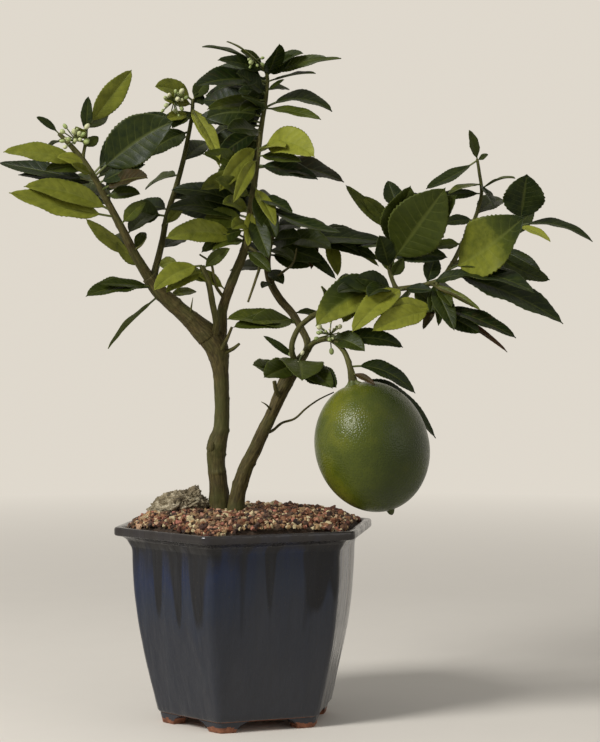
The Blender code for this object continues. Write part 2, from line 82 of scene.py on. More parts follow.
# Profile of each foot: height, how far it stands in from the wall, length along the sides of its corner
FOOT_LEVELS = ((0, 1.4, 8.5), (2.2, 1.0, 9.5), (4.2, 0.4, 12.0), (POT_BASE, 0.1, 16.0),
               (POT_BASE + 1.0, 0, 16.5))
GLAZE_LINE = 2.9            # height on the feet down to which the glaze runs
DRIP_SHIFT = (7.8, 5.46, 0)     # moves the black runs round the wall

# Gravel heap and its granules
GRAVEL_EDGE = 104.0
GRAVEL_RISE = 9.0
GRAVEL_BULGE = 5
GRANULE_SHAPES = 30         # different shapes in stock
GRANULE_LAYERS = (2200, 2400)   # how many lie in the lower and in the upper layer
GRANULE_SIZES = (0.8, 2.6)  # least and greatest radius
GRANULE_SPREAD = (0.34, 0.3)    # middle and spread of the radii's logarithms

# Stone beside the trunks
ROCK_CENTRE = (-37.0, 6.0, 113.0)
ROCK_HALF = (17.0, 12.0, 12.3)
ROCK_LEAN = 0.35            # how far its crest leans to the trunks
ROCK_SUNK = 1.5             # how deep its flat underside lies in the gravel

# Fruit
LEMON_AXIS = Vector((0.282, 0.0, -0.96)).normalized()
LEMON_LENGTH = 73.0
LEMON_RADIUS = 30.4
LEMON_NIPPLE = 2.8
LEMON_SIDES = 112
LEMON_RINGS = 90
NECK_RADIUS = 2.6           # where the body runs out into the nipple
NECK_REACH = 1.6
STALK_DIP = 1.2             # depth of the hollow round the stalk
STALK_DIP_RADIUS = 5.0
# Radius and height above the fruit's end of the nipple's rings and of the dry style's
NIPPLE_RINGS = ((2.3, -0.1), (1.9, 0.9), (1.5, 1.8), (1.0, 2.4))
STYLE_RINGS = ((0.9, 1.8), (0.8, 2.5), (0.35, LEMON_NIPPLE))
# Radius, height from the top of the fruit, and how far the five lobes stand out
CALYX_RINGS = ((1.8, -4.5, 0), (2.1, -2.5, 0.1), (3.0, -0.9, 0.5), (4.6, 0.6, 1), (5.2, 1.6, 1.2),
               (3.5, 1.9, 1), (0.5, 1.9, 0))

# Leaves
PETIOLE = 0.6               # radius of the leaf stalk
PETIOLE_PART = 0.14         # share of a large leaf's length that is stalk
SMALL_PETIOLE_PART = 0.08   # the same for a small leaf
LEAF_CUP = 0.22             # how far the two halves are folded up along the midrib
BLADE_THICK = 0.36
TOOTH = 0.035               # depth of the margin's teeth, as a share of the half width
TOOTH_PITCH = 2.6
VEIN_PAIRS = 9
VEIN_SLANT = 0.16           # how far a side vein runs forwards, as a share of the blade's length
VEIN_COLOUR = (0.16, 0.18, 0.04)
# Colours at the tones -1 (brown), -0.5, 0 (dark green), 0.5 and 1 (yellow-green); the yellow-green end also
# serves as painted light and the dark green as painted shade
UPPER_TONE_AND_LIGHT_COLOURS = ((0.05, 0.012, 0.012), (0.055, 0.026, 0.01), (0.007, 0.0135, 0.0025),
               (0.045, 0.057, 0.006), (0.215, 0.225, 0.026))
UNDER_TONE_AND_LIGHT_COLOURS = ((0.07, 0.03, 0.025), (0.08, 0.045, 0.016), (0.022, 0.036, 0.01),
               (0.07, 0.09, 0.018), (0.22, 0.235, 0.04))

# Bark: what is added to the radius of some stems, and the wood's own swellings
THICKER = {"limb_left": 0.6, "trunk_left": 0.4, "limb_centre": -0.3, "twig_left_low": 0.5}
FORK_SWELL = 1.5            # how much thicker the wood is at the left fork
FORK_REACH = 11.0           # how far that swelling reaches along the wood
FORK_BEFORE_END = 4.0       # where it is on the left trunk, counted from the end
ROOT_FLARE = 0.9            # how much wider the trunks are where they leave the gravel
ROOT_FLARE_RISE = 6.0       # how fast that dies away above the gravel
THICK_SIDES = {"trunk": 48, "limb": 36}     # sides of the tubes of old wood; the rest is young
YOUNG_SIDES = 20
GREEN_RADII = (2.3, 1.1)    # wood thinner than the first turns green, down to the second
SCAR_GAPS = (9, 17)         # least and greatest distance between the rings of old leaf scars
SCAR_REACH = 0.9
KNOT = ((-19.6, 2.0, 148.0), (-1.0, -0.35, 0.1), 3.4)      # middle, the way it faces, radius
# Share of the knot's radius and distance out, from the lip's foot over the lip to the eye
KNOT_RINGS = ((1.25, -1.6), (1.15, -0.4), (1.0, 0.5), (0.82, 0.85), (0.62, 0.55), (0.42, -0.1),
              (0.15, -0.35))

# Stage, in the frame's metres; lamp power in watts
CAMERA_PLACE = (0.0298, -1.081, 0.2183)     # from the middle of the pot's foot
CAMERA_LENS = 96.4
CAMERA_DIP = 0.027          # radians that the camera looks down
PALE = (0.74, 0.69, 0.61)   # colour of the floor and the surround
FILL_STRENGTH = 0.35
FLOOR_RADIUS = 6.0
FLOOR_FADE = (0.5, 1.4)     # distances between which the floor passes into the surround
LAMP_TARGET = (0, 0, 0.2)
LAMPS = {"key": ((-1.1, -0.9, 1.2), 0.6, 29), "fill": ((1.3, -1.0, 0.7), 1.2, 3)}   # place, size, power

# Stems: carried by, where on it (in waypoints, "end" for its end), then waypoints (x, y, z, radius)
STEMS = {
    "trunk_left": (None, 0, (
        (-14.2, 4, 90, 5.8), (-14.2, 4, 108, 5.3), (-14.6, 4, 125, 4.6), (-16, 4, 139, 4.5),
        (-15.4, 4, 149, 5), (-13.2, 4, 158, 3.9), (-12.9, 4, 173, 3.6), (-13.5, 4, 188, 3.9),
        (-15.5, 4, 201, 4.9), (-20.5, 3, 208.5, 4.6))),
    "limb_left": ("trunk_left", "end", (
        (-29, 1, 216.5, 4.1), (-38, -1, 224.5, 3.8), (-46, -4, 232, 3.5), (-52, -6, 240, 3.2))),
    "branch_left_outer": ("limb_left", "end", (
        (-58.5, -10, 251, 2.5), (-65, -15, 264.5, 2.2), (-72.5, -18, 279, 1.9), (-78.5, -20, 290.5, 1.7),
        (-86, -21, 302.5, 1.5), (-94, -21, 311.5, 1.3), (-98.5, -21, 316, 1.1))),
    "branch_left_inner": ("limb_left", 3.7, (
        (-47.5, 2, 250, 1.9), (-45.5, 9, 261, 1.7), (-43.5, 16, 274, 1.6), (-38.5, 23, 292, 1.5),
        (-35.5, 27, 304, 1.4), (-32.5, 30, 319, 1.2), (-30.5, 31, 331, 1.1), (-30, 32, 340, 1))),
    "twig_left_top": ("branch_left_outer", 5, (
        (-84.5, -20, 311, 0.9), (-84, -19, 319, 0.8))),
    "twig_left_low": ("trunk_left", 8.5, (
        (-15.5, -4, 214, 1.4), (-17.5, -7, 226, 1.2), (-19.5, -9, 237, 1.1), (-23, -10, 246, 1))),
    "limb_centre": ("trunk_left", 8, (
        (-13.2, 4, 212, 3.4), (-12.5, 2, 222, 3), (-9, -1, 233, 2.9), (-4.5, -2, 244, 2.8),
        (0, -2.5, 256, 2.6), (2.5, -1, 272, 2.4), (4.5, 2, 288, 2.1), (6.5, 5, 304.5, 1.9),
        (8.5, 8, 321, 1.7), (11, 9, 337, 1.5), (12, 9, 349, 1.3), (10, 8, 355, 1.1))),
    "trunk_right": (None, 0, (
        (-5, -5, 90, 5), (-5, -5, 108, 4.5), (-4, -5, 122, 4.1), (0.3, -6, 136, 3.9), (6, -7, 148, 3.6),
        (10.5, -8, 158, 3.4), (14.8, -8, 166.5, 3.2), (18.4, -7, 175, 3.5), (22.2, -6, 183, 4.1),
        (26.6, -4, 190.5, 3.7), (29.7, -3, 195, 2.8))),
    "leader_right": ("trunk_right", "end", (
        (33.5, 0, 200.5, 2), (33.5, 5, 206, 1.9), (30, 10, 213, 2), (25.5, 15, 220.5, 2.2),
        (18.3, 20, 229, 2.2), (13.2, 25, 238.5, 2.1), (11.5, 30, 249, 2), (13, 34, 260, 1.8),
        (16.5, 38, 271.5, 1.5))),
    "branch_mid": ("leader_right", 8, (
        (24, 38, 263.5, 1.3), (36, 40, 265, 1.1), (47.5, 40, 264, 1))),
    "branch_right": ("trunk_right", 9.3, (
        (25.3, -9, 201, 1.5), (26.8, -8, 208, 1.5), (31, -5, 214.5, 1.5), (40, -2, 221, 1.5),
        (53, 0, 227, 1.5), (67, 0, 231, 1.4), (82, -1, 233.5, 1.4), (96, -3, 235.5, 1.4),
        (106, -5, 238.5, 1.3))),
    "twig_right_inner": ("branch_right", 7, (
        (78.7, 5, 244, 1.2), (79, 10, 256.5, 1.1), (81.7, 14, 268.5, 1), (84, 16, 277, 0.9))),
    "twig_right_up": ("branch_right", "end", (
        (112.5, 0, 247.3, 1.3), (119.2, 9, 259.5, 1.2), (126.2, 15, 273, 1.1), (130, 18, 286.5, 1),
        (128.7, 18, 298.5, 0.9), (127.5, 17, 305.5, 0.8))),
    "twig_right_outer": ("twig_right_up", 1, (
        (121, 5, 250, 1.2), (133, 10, 253.3, 1.1), (143.8, 11, 260.5, 1), (150, 8, 269, 0.9))),
    "twig_right_low": ("branch_right", 8.8, (
        (104, -7, 229, 1), (102.5, -8, 221, 0.9))),
    "fruit_stalk": ("leader_right", 1, (
        (38, -7, 205, 1.5), (46, -16, 206.5, 1.5), (53, -25, 200.5, 1.4), (56.2, -30, 192, 1.5),
        (58, -30, 183.6, 2.6))),
}

# Large leaves, which the part has too: where on the stem, tip (x, y, z), width, the way the upper side
# faces, lift of the middle, tone (-1 brown, 0 dark green, 1 yellow-green) of the whole leaf, or of its two
# halves and its tip; the tone is partly the leaf's own colour and partly painted light and shade
LEAVES = {
    "branch_left_outer": (
        (4.7, (-126, -34, 306.5), 13, (0, -1, 0.5), 2, 0.75),
        (4, (-134, -2, 302.5), 12, (0, -0.9, 0.8), 0, 0),
        (2.5, (-122, -42, 283.5), 17, (0, -1, 0.6), -1, 0.85),
        (4.2, (-37, -38, 321), 26, (0.2, -1, 0.4), 3, 0.1),
        (3.6, (-49.5, -46, 291), 13, (0, -1, 0.5), 2, -0.2),
        (0.8, (-86, -8, 271), 9, (-0.5, -1, -0.2), 0, 0.7),
        (3, (-106, 28, 293), 18, (-0.2, -0.3, 1), 4, 0.2)),
    "twig_left_top": (
        (2, (-60, -16, 350.5), 13, (0.3, -1, 0), 0, 0.75),
    ),
    "branch_left_inner": (
        (3, (-67, 14, 277), 15, (0, -1, 0.4), 0, 0.15), (7.3, (-14, 14, 301), 8, (0.5, -1, 0.2), 3, 0.95)),
    "limb_left": (
        (3.3, (-83, -32, 231), 15, (0, -0.7, 1), 2, 0.2),
        (2.9, (-74, -20, 202.5), 12, (-0.74, 0, 0.67), 1, 0.5)),
    "twig_left_low": (
        (4, (-47.5, -30, 233), 13, (-0.2, -1, 0.6), 3, 0.8),
    ),
    "limb_centre": (
        (11.9, (-23, -4, 364.6), 9, (0.3, -0.2, 1), 2.6, 0.1),
        (11.4, (52, -6, 358), 10, (0, -0.8, 1), 1, 0.35), (10.8, (-26, -20, 342.5), 18, (0, -1, 0.6), 2, 0),
        (9.7, (47.5, 4, 330.5), 16, (0, -0.6, 1), 6, 0.1),
        (8.3, (37.3, -28, 303.5), 18, (0, -1, 0.4), 6, 0.95),
        (7.7, (54, 2, 292.2), 19, (0, -0.8, 0.8), 4, -0.1),
        (6.7, (51.5, -24, 263.5), 12, (0, -0.6, 1), -3.5, 0.05),
        (5.2, (-41, -26, 261), 15, (0, -1, 0.5), 4, 0.75),
        (5.7, (-42, -3, 277), 16, (0, -0.6, 0.8), 6, 0.1), (9.8, (-25, 32, 339.5), 17, (0, -1, 0.4), 1, 0),
        (9.1, (-21, 42, 322), 15, (0, -1, 0.4), 2, 0.1)),
    "leader_right": (
        (3.4, (-9.5, -11, 217.5), 16, (0, -0.8, 1), 1, 0.5),
        (8.4, (77, 30, 262), 14, (0, -0.7, 1), 0, 0.05)),
    "trunk_right": (
        (9, (5, -34, 193.5), 15, (0, -1, 0.7), -2, 0.4),
        (9.6, (49, -30, 181.5), 15, (0.1, -1, 0.6), 0, 0.1)),
    "branch_right": (
        # One half of this leaf is toned light as painted light, the other dark as painted shade
        (7, (38, -30, 214), 24, (-0.2, -1, 0.5), 7, (0.85, 0.05, 0.7)),
    ),
    "fruit_stalk": (
        (4, (92, -20, 178), 12, (0.2, -0.8, 0.9), 5, 0.05),
    ),
    "twig_right_low": (
        (1.9, (68, -36, 211.5), 15, (0, -1, 0.6), 2, 0.95),
        (1.5, (145, -22, 207.5), 13, (0.2, -0.7, 0.9), 1.5, 0)),
    "twig_right_inner": (
        (1.2, (106, -30, 286), 31, (0, -1, 0.2), 0, 0.3),
        (2.6, (54.8, 12, 291), 7, (-0.4, -1, 0.3), 0, 0.5)),
    "twig_right_up": (
        (5.9, (98.5, 4, 288.5), 10, (-0.3, -0.7, 0.8), -1, 0.1),
        (0.7, (146, -40, 271), 32, (-0.3, -1, 0.3), -3, (0.7, 0.8, 0.15)),
        (0.5, (169, -34, 216.5), 21, (0.2, -0.8, 0.8), 3, 0.05)),
    "twig_right_outer": (
        (4, (152.5, -4, 295.5), 23, (0.1, -1, 0.1), 0, 0.05),
        (3.9, (189.5, 4, 259.7), 11, (0, -0.4, 1), 5, 0.05)),
}

# Small leaves that only the dressed model has, in the same columns
SMALL_LEAVES = {
    "branch_left_outer": (
        (7, (-110, -24, 324.5), 4, (0, -1, 0.3), 1, 0.1), (4.7, (-98, -30, 303), 8, (0, -1, 0.6), 1, 0.95),
        (4.3, (-90, -34, 299), 6, (0, -1, 0.5), 0, 0.7), (4.1, (-60, 6, 303), 11, (0, -1, 0.5), 2, 0.15),
        (5.9, (-106, -2, 311), 9, (0, -0.4, 1), 2, 0.3), (2.8, (-90, 20, 291), 13, (-0.2, -0.6, 1), 2, 0.3),
        (2.2, (-52, -30, 279), 8, (0.3, -1, 0.3), 1, 0.5),
        (2.7, (-115, -36, 287.5), 14, (0, -1, 0.5), 3, 0.8),
        (4.3, (-40, -26, 326), 20, (0.2, -1, 0.4), 3, 0.05),
        (3.3, (-55, -30, 284), 9, (0.2, -1, 0.5), 1, 0.3),
        (1.2, (-54.5, 6, 265), 6, (0.3, -1, 0.3), 1, 0.5), (3.9, (-123, -4, 297), 9, (0, -1, 0.7), 0, 0),
        (1.4, (-73, 8, 262), 10, (-0.3, -1, 0.4), 1, 0.5),
        (3.4, (-60, 14, 298), 12, (0.3, -0.5, 0.8), 2, 0.2),
        (1.8, (-50, 16, 276), 11, (0.3, -0.4, 0.9), 2, 0.2),
        (0.4, (-69, -10, 258.5), 8, (-0.5, -1, 0), 0, 0.6),
        (4.5, (-105, -28, 296), 10, (0, -1, 0.6), 2, 0.3),
        (3.9, (-52, -34, 299), 12, (0, -1, 0.5), 1, 0.05)),
    "twig_left_top": (
        (1.6, (-82.5, -26, 335), 7, (-0.5, -1, 0), 0, 0.1),
        (1.9, (-74, 4, 331), 9, (0.4, -0.8, 0.3), 1, 0.3),
        (0.7, (-78, -16, 315), 6, (0.3, -1, 0.3), 0, 0.5),
        (1.2, (-89, -26, 319), 6, (-0.3, -1, 0.3), 0, 0.7)),
    "branch_left_inner": (
        (7.9, (-50, 20, 346), 13, (0, -1, 0.7), 2, 0.7), (7, (-46, 18, 327), 7, (0, -1, 0.5), 1, 0.85),
        (7.9, (-22, 40, 351), 9, (0.2, -0.8, 0.5), 1, 0.2),
        (6, (-49, 44, 314), 12, (-0.4, -0.8, 0.6), 1, 0.25),
        (5, (-22, 50, 318), 12, (0.3, -0.6, 0.7), 2, 0.15),
        (3.5, (-22, 36, 286), 12, (0.2, -0.8, 0.6), 2, 0.1),
        (2.6, (-33, 0, 279), 6, (0.4, -1, 0.2), 1, 0.6),
        (7.4, (-22, 10, 315.5), 8, (0.5, -1, 0.2), 2, 0.95),
        (1.5, (-33, 32, 263), 10, (0.3, -0.5, 0.8), 1, 0.3), (0.6, (-37, -6, 248), 7, (0, -1, 0.4), 1, 0.7),
        (7.6, (-45, 20, 338.5), 7, (-0.2, -1, 0.3), 1, 0.8),
        (7.2, (-41, 22, 323.5), 8, (-0.2, -1, 0.3), 1, 0.3),
        (7.3, (-13, -12, 304), 10, (0.5, -1, 0.2), 2, 0.95),
        (7.7, (-23.5, 36, 340.5), 8, (0.2, -1, 0.3), 1, 0.1),
        (6.6, (-24, 36, 328), 9, (0.2, -1, 0.3), 1, 0.1),
        (4.4, (-58, 40, 291), 13, (-0.3, -0.4, 0.9), 2, 0.2),
        (6.2, (-56, 8, 306), 15, (0, -1, 0.5), 2, 0.1), (3.2, (-62, 34, 281), 12, (0, -0.8, 0.6), 1, 0.05)),
    "limb_left": (
        (2.6, (-27, 18, 233), 6, (0.3, -0.8, 0.5), 1, 0.65),
        (3.2, (-77, -28, 236.5), 9, (0, -0.8, 0.8), 1, 0.2)),
    "twig_left_low": (
        (2.9, (-37, -16, 247), 7, (-0.2, -1, 0.5), 1, 0.6),
        (3.6, (-41.5, -24, 232), 9, (-0.2, -1, 0.6), 2, 0.7),
        (3.8, (-8, -18, 255), 7, (0.3, -1, 0.3), 1, 0.4)),
    "limb_centre": (
        (2.9, (-28, -14, 243), 7, (-0.3, -1, 0.6), 2, 0.7),
        (11.1, (19, -20, 363.5), 12, (0.3, -1, 0.2), 0, 0.05),
        (11.9, (-8, -30, 365), 4, (-0.3, -1, 0.5), 1, 0.6),
        (11.3, (44, -12, 358), 8, (0, -1, 0.5), 1, 0.35), (11.2, (26, -4, 360), 9, (0.4, -1, 0.5), 0, 0.1),
        (10.8, (38, -6, 351), 8, (0, -0.25, 1), 1, 0.2), (11.9, (-2, -6, 362), 6, (-0.3, -1, 0.5), 1, 0.4),
        (11.8, (-10, 28, 353), 12, (-0.2, -0.8, 0.7), 2, 0.1),
        (10.4, (21, -2, 347), 3, (0, -1, 0.4), 0, 0.2), (10.4, (24, 20, 344), 7, (0.2, -0.4, 1), 1, 0.15),
        (10.2, (-4, 10, 342), 9, (0, -1, 0.3), 1, 0.1), (9.9, (-2.5, -10, 329), 9, (0, -1, 0.4), 1, 0.3),
        (9.7, (41, -12, 325), 9, (0, -0.6, 1), 1, 0.45), (9, (-16, -6, 304), 11, (0, -1, 0.4), 1, 0.05),
        (10, (-20, -12, 330), 10, (0, -1, 0.7), 1, 0.5), (9.2, (-29, 24, 327), 15, (0, -0.8, 0.6), 3, 0.1),
        (8.4, (-13, -16, 286), 11, (0.5, -1, 0), 3, 0.8), (8, (-5, -20, 280), 8, (0.3, -1, 0), 3, 0.9),
        (7.2, (-24, -4, 288), 12, (0, -1, 0.5), 3, 0.6), (7.1, (17, -18, 268), 9, (0.4, -1, 0.2), 1, 0.8),
        (6.4, (2, -12, 257), 7, (0.2, -1, 0), 0, 0.95), (6.3, (-27, 26, 283), 15, (0, -0.7, 0.7), 3, 0.1),
        (6.3, (-41, 8, 289), 12, (0, -0.9, 0.6), 3, 0.1),
        (8.7, (-15, 44, 316), 14, (-0.2, -0.4, 1), 3, 0.15),
        (5.3, (-31, 32, 270), 14, (-0.2, -0.5, 0.8), 3, 0.2),
        (4.9, (14, -12, 243), 8, (0.4, -1, 0.2), 1, 0.3),
        (6.7, (26, -14, 274), 11, (0.1, -0.7, 0.8), 2, 0.1),
        (5.2, (-17, -20, 254), 8, (-0.2, -1, 0.5), 2, 0.5),
        (9.6, (0, -24, 335), 12, (-0.1, -1, 0.4), 1, 0.05),
        (8.9, (-8, -26, 318), 13, (0.1, -1, 0.5), 1, 0.1),
        (8.2, (22, -22, 309), 11, (0.3, -1, 0.4), 2, 0.95),
        (7.5, (-22, -14, 306), 11, (-0.2, -1, 0.4), 2, 0.45),
        (10.2, (-4, -8, 350), 12, (0, -1, 0.6), 1, 0.05),
        (6.9, (25, 26, 275), 13, (0.2, -0.6, 0.8), 2, 0.1),
        (11.5, (-14, -10, 357), 9, (0, -1, 0.5), 1, 0.1), (11.4, (31, -8, 361), 8, (0, -1, 0.5), 2, 0.1),
        (7, (17, -8, 261), 13, (0.1, -1, 0.3), 1, 0.1), (6.2, (13, -16, 250), 11, (0.1, -1, 0.3), 1, 0.15),
        (5.6, (-23, -16, 253), 10, (-0.1, -1, 0.4), 3, 0.2),
        (5.9, (-34, 14, 262), 14, (-0.1, -1, 0.5), 3, 0.1),
        (7.6, (-12, 16, 296), 13, (0, -1, 0.3), 1, 0.05), (8.6, (-22, 18, 313), 13, (0, -1, 0.4), 2, 0.1),
        (10.6, (-20, 26, 354.5), 16, (0.2, -1, 0.4), 2, 0.05),
        (10, (-24, 46, 344), 20, (0, -1, 0.2), 1, 0.05),
        (9.4, (-22, 10, 327.5), 18, (-0.3, -1, 0.4), 3, 0.15),
        (8.7, (-24, 42, 312), 18, (0.2, -0.8, 0.6), 3, 0.05),
        (8, (-17.5, 30, 289.5), 18, (0.2, -1, 0.2), 1, 0.45),
        (8.1, (30, -20, 302), 8, (0, -1, 0.5), 1, 0.4), (7.8, (39.5, -6, 293.5), 13, (0, -1, 0.6), 1, 0),
        (6, (-41, 20, 279), 16, (0, -1, 0.5), 2, 0.1), (6.2, (-32, 30, 280), 14, (0, -1, 0.4), 1, 0.1),
        (5.7, (-22, -6, 272), 13, (0, -1, 0.5), 2, 0.5), (11.2, (2, 17, 340), 13, (-0.2, -1, 0.2), 0, 0.05),
        (10.5, (1, 12, 330), 12, (0.4, -1, 0.3), 1, 0.1),
        (9.8, (-1, 22, 321), 13, (-0.4, -0.8, 0.3), 2, 0.05),
        (9.1, (-2, 11, 308), 12, (0.1, -1, 0.4), 1, 0.2),
        (8.4, (-3, 16, 298), 13, (-0.3, -1, 0.1), 1, 0.05), (7.7, (-4, 8, 285), 13, (0.3, -1, 0.4), 2, 0.1),
        (7, (-5, 14, 276), 12, (-0.3, -0.9, 0.3), 1, 0.1),
        (6.7, (-15, -20, 292), 10, (0.3, -1, 0.2), 1, 0.55),
        (6.2, (-11, -22, 279), 10, (0, -1, 0.4), 2, 0.6),
        (5.8, (-6, -20, 266), 9, (0.2, -1, 0.3), 1, 0.65)),
    "leader_right": (
        (8.8, (30, 20, 269), 13, (0, -1, 0.6), 1, 0.05), (7.6, (27, 8, 250), 8, (0.2, -1, 0.4), 2, 0.3),
        (8, (30, 20, 262), 14, (0, -1, 0.4), 1, 0.1), (8, (42, 20, 250), 15, (0, -1, 0.5), 0, 0.1),
        (7.4, (36.5, 26, 247), 12, (0, -1, 0.5), 1, 0.15),
        (4, (42, 20, 219.5), 6, (0.2, -0.6, 0.8), 1, 0.3),
        (6.6, (20.5, 12, 237), 8, (0.2, -1, 0.2), 1, 0.1), (5.8, (9, 8, 235), 6, (-0.2, -1, 0.2), 1, 0.2),
        (3.3, (-5.5, -14, 214), 13, (0, -0.9, 0.8), 1, 0.45),
        (3.5, (4, -8, 216.5), 15, (0, -0.9, 0.8), 0, 0.45),
        (6.6, (-10, 44, 245), 12, (-0.2, -0.6, 0.8), 2, 0.25),
        (8.9, (2, 40, 284), 12, (-0.2, -0.8, 0.6), 2, 0.1),
        (8.9, (31, 50, 269), 12, (0.3, -0.5, 0.8), 1, 0.1),
        (7.5, (-3, 6, 252), 12, (-0.1, -1, 0.4), 2, 0.05),
        (8.7, (6, 14, 276), 12, (-0.2, -1, 0.3), 1, 0.1)),
    "branch_mid": (
        (0.7, (47, 16, 257), 14, (0, -1, 0.5), 2, 0.3), (1.6, (63, 28, 254), 12, (0, -0.9, 0.6), 2, 0.1),
        (2.9, (74, 34, 247), 6, (0, -0.8, 0.8), 2, 0.6), (2.8, (51, 26, 242), 9, (0.4, -1, 0.2), 0, 0.85),
        (2.2, (36, 22, 245), 6, (0, -1, 0.4), 1, -0.4), (1.8, (45, 50, 271), 12, (0.2, -0.4, 0.8), 2, 0.2),
        (2.3, (64, 52, 265), 12, (0.3, -0.4, 0.9), 2, 0.15),
        (1, (79, 20, 260.5), 15, (0, -0.8, 0.7), 1, 0.05), (2, (72, 44, 260), 13, (0, -0.8, 0.7), 2, 0.1),
        (0.9, (49.5, 16, 240), 8, (0.2, -1, 0.3), 1, 0.05),
        (2.4, (73, 28, 251), 10, (0, -1, 0.5), 1, 0.15)),
    "trunk_right": (
        (9.9, (10.5, -8, 208.5), 4.5, (0, -1, 0.5), 0, 0.1),
        (9.8, (11, -37, 187), 15, (0, -1, 0.35), 0, 0.35),
        (9.9, (31, -37, 185.5), 24, (0.1, -0.5, 1), 2.5, 0.35),
        (9.8, (47, -32, 181), 13, (0.1, -1, 0.5), 1, 0.3)),
    "fruit_stalk": (
        (2.5, (85.5, -14, 202.5), 12, (0, -0.8, 0.7), 4, 0.1),
        (1.9, (64, -30, 201), 12, (0.1, -1, 0.5), 2, 0.3),
        (5, (104.5, -4, 153), 13, (0.6, -0.6, 0.6), 7.5, 0.05),
        (4.4, (69, -42, 183), 4, (0, -1, 0.6), 1, -0.3)),
    "branch_right": (
        (5.5, (53, -24, 216), 10, (0.5, -1, 0.5), 1, 0.8), (4.4, (41.5, -16, 235), 4, (0, -1, 0.6), 1, 0.6),
        (4.9, (55, 26, 243), 9, (0, -0.8, 0.6), 1, 0.2),
        (6.4, (62, 28, 241), 12, (-0.2, -0.6, 0.8), 2, 0.2),
        (8.2, (104, 4, 252), 10, (0.2, -1, 0.2), 0, 0.05), (7.5, (85, 18, 219), 10, (0, -0.6, 0.6), 1, 0.3),
        (8.3, (126, -22, 223), 5, (0, -1, 0.7), 1, 0.6),
        (8.1, (120, 24, 230), 10, (0.2, -0.5, 0.8), 2, 0.25),
        (6.8, (66, -26, 230), 12, (-0.2, -1, 0.5), 2, 0.1),
        (8.5, (122, -20, 240), 9, (0.2, -1, 0.5), 2, 0.1),
        (6.9, (60, -12, 239.5), 12, (-0.2, -1, 0.5), 1, 0.1),
        (8.5, (112, -24, 212), 11, (0, -1, 0.5), 1, 0.1),
        (7.3, (57, -42, 211), 15, (-0.2, -1, 0.5), 3, 0.9), (7.6, (101, -5, 226), 9, (0, -1, 0.4), 0, 0.25),
        (8.9, (100, -12, 221), 8, (0, -1, 0.3), 0, 0.15),
        (8.9, (104.5, -14, 214), 7, (0.3, -1, 0.2), 0, 0.2),
        (7.3, (100.5, -14, 233), 7, (0, -1, 0.4), 0, 0.05),
        (6, (50, -30, 232), 12, (-0.2, -1, 0.6), 2, 0.05)),
    "twig_right_inner": (
        (4, (78.5, 22, 294), 11, (0, -1, 0.2), 0, 0.05), (0.8, (77, 12, 254), 7, (0, -1, 0.2), 0, 0.35),
        (0.6, (86, 0, 250.5), 7, (0.3, -1, 0.2), 0, 0.3),
        (2.9, (64, 10, 284.5), 8, (-0.4, -1, 0.3), 1, 0.5),
        (2, (62, 34, 258), 12, (-0.3, -0.6, 0.7), 2, 0.2),
        (3.9, (99, 34, 287), 10, (0.2, -0.8, 0.4), 1, 0.15),
        (3.1, (99, 40, 264), 12, (0.3, -0.4, 0.8), 2, 0.2), (1.5, (96, 0, 258), 12, (0.1, -1, 0.4), 1, 0.1),
        (1, (73, -8, 262), 12, (0, -1, 0.3), 1, 0.1), (1.7, (109, -8, 251), 12, (0, -1, 0.4), 1, 0.1),
        (2, (88.5, -20, 287.5), 20, (0, -1, 0.2), 0, 0.25),
        (1.6, (112, -28, 282.5), 20, (0, -1, 0.2), 0, 0.25)),
    "twig_right_up": (
        (4, (102, 4, 283), 6, (0, -1, 0.4), 1, 0.1),
        (0.4, (152.5, -44, 232.5), 17, (0.1, -0.8, 0.8), 4, 0.05),
        (1.9, (103, 4, 256), 8, (0, -1, 0.6), 1, 0.35), (2.9, (107, 0, 269), 7, (0, -1, 0.5), 1, 0.1),
        (4.4, (110, -4, 286), 8, (0, -0.4, 1), 1, 0.5), (4.2, (147, 4, 295), 7, (0, -0.3, 1), 2, 0.4),
        (5.9, (123, 12, 321), 7, (0.6, -1, 0), 0, 0.35), (5.9, (133, 14, 308), 3.5, (0, -1, 0.4), 0, 0.2),
        (4.4, (135, -2, 279), 8, (0.5, -1, 0), 0, 0), (3.1, (144, 38, 285), 12, (0.2, -0.5, 0.8), 2, 0.2),
        (0.9, (140, -26, 243), 12, (0.2, -0.8, 0.6), 2, 0.1),
        (1.4, (136, 34, 262), 12, (0.2, -0.5, 0.8), 2, 0.2)),
    "twig_right_outer": (
        (3.9, (165, -8, 260), 6, (0, -1, 0.7), 1, 1), (2.1, (167, 10, 239), 13, (0.1, -0.9, 0.6), -2, 0.2),
        (3, (160, 28, 278), 10, (0.3, -0.5, 0.8), 1, 0.2),
        (3.4, (134, 30, 249), 10, (-0.2, -0.5, 0.8), 1, 0.3),
        (2.4, (160, -6, 243), 9, (0.2, -0.8, 0.6), 1, 0.1)),
    "twig_right_low": (
        (1.8, (96, -14, 212), 5, (0, -1, 0.5), 2, -0.2),
        (0.3, (111, -18, 224.5), 7, (0.3, -1, 0.3), 0, 0.3),
        (1.9, (142, -10, 200), 5, (0.2, -0.8, 0.8), 3, -0.5),
        (1.7, (72, -22, 220), 13, (0, -1, 0.5), 1, 0.9),
        (1.7, (126.5, -14, 210), 12, (0, -1, 0.6), 0, 0.1)),
}

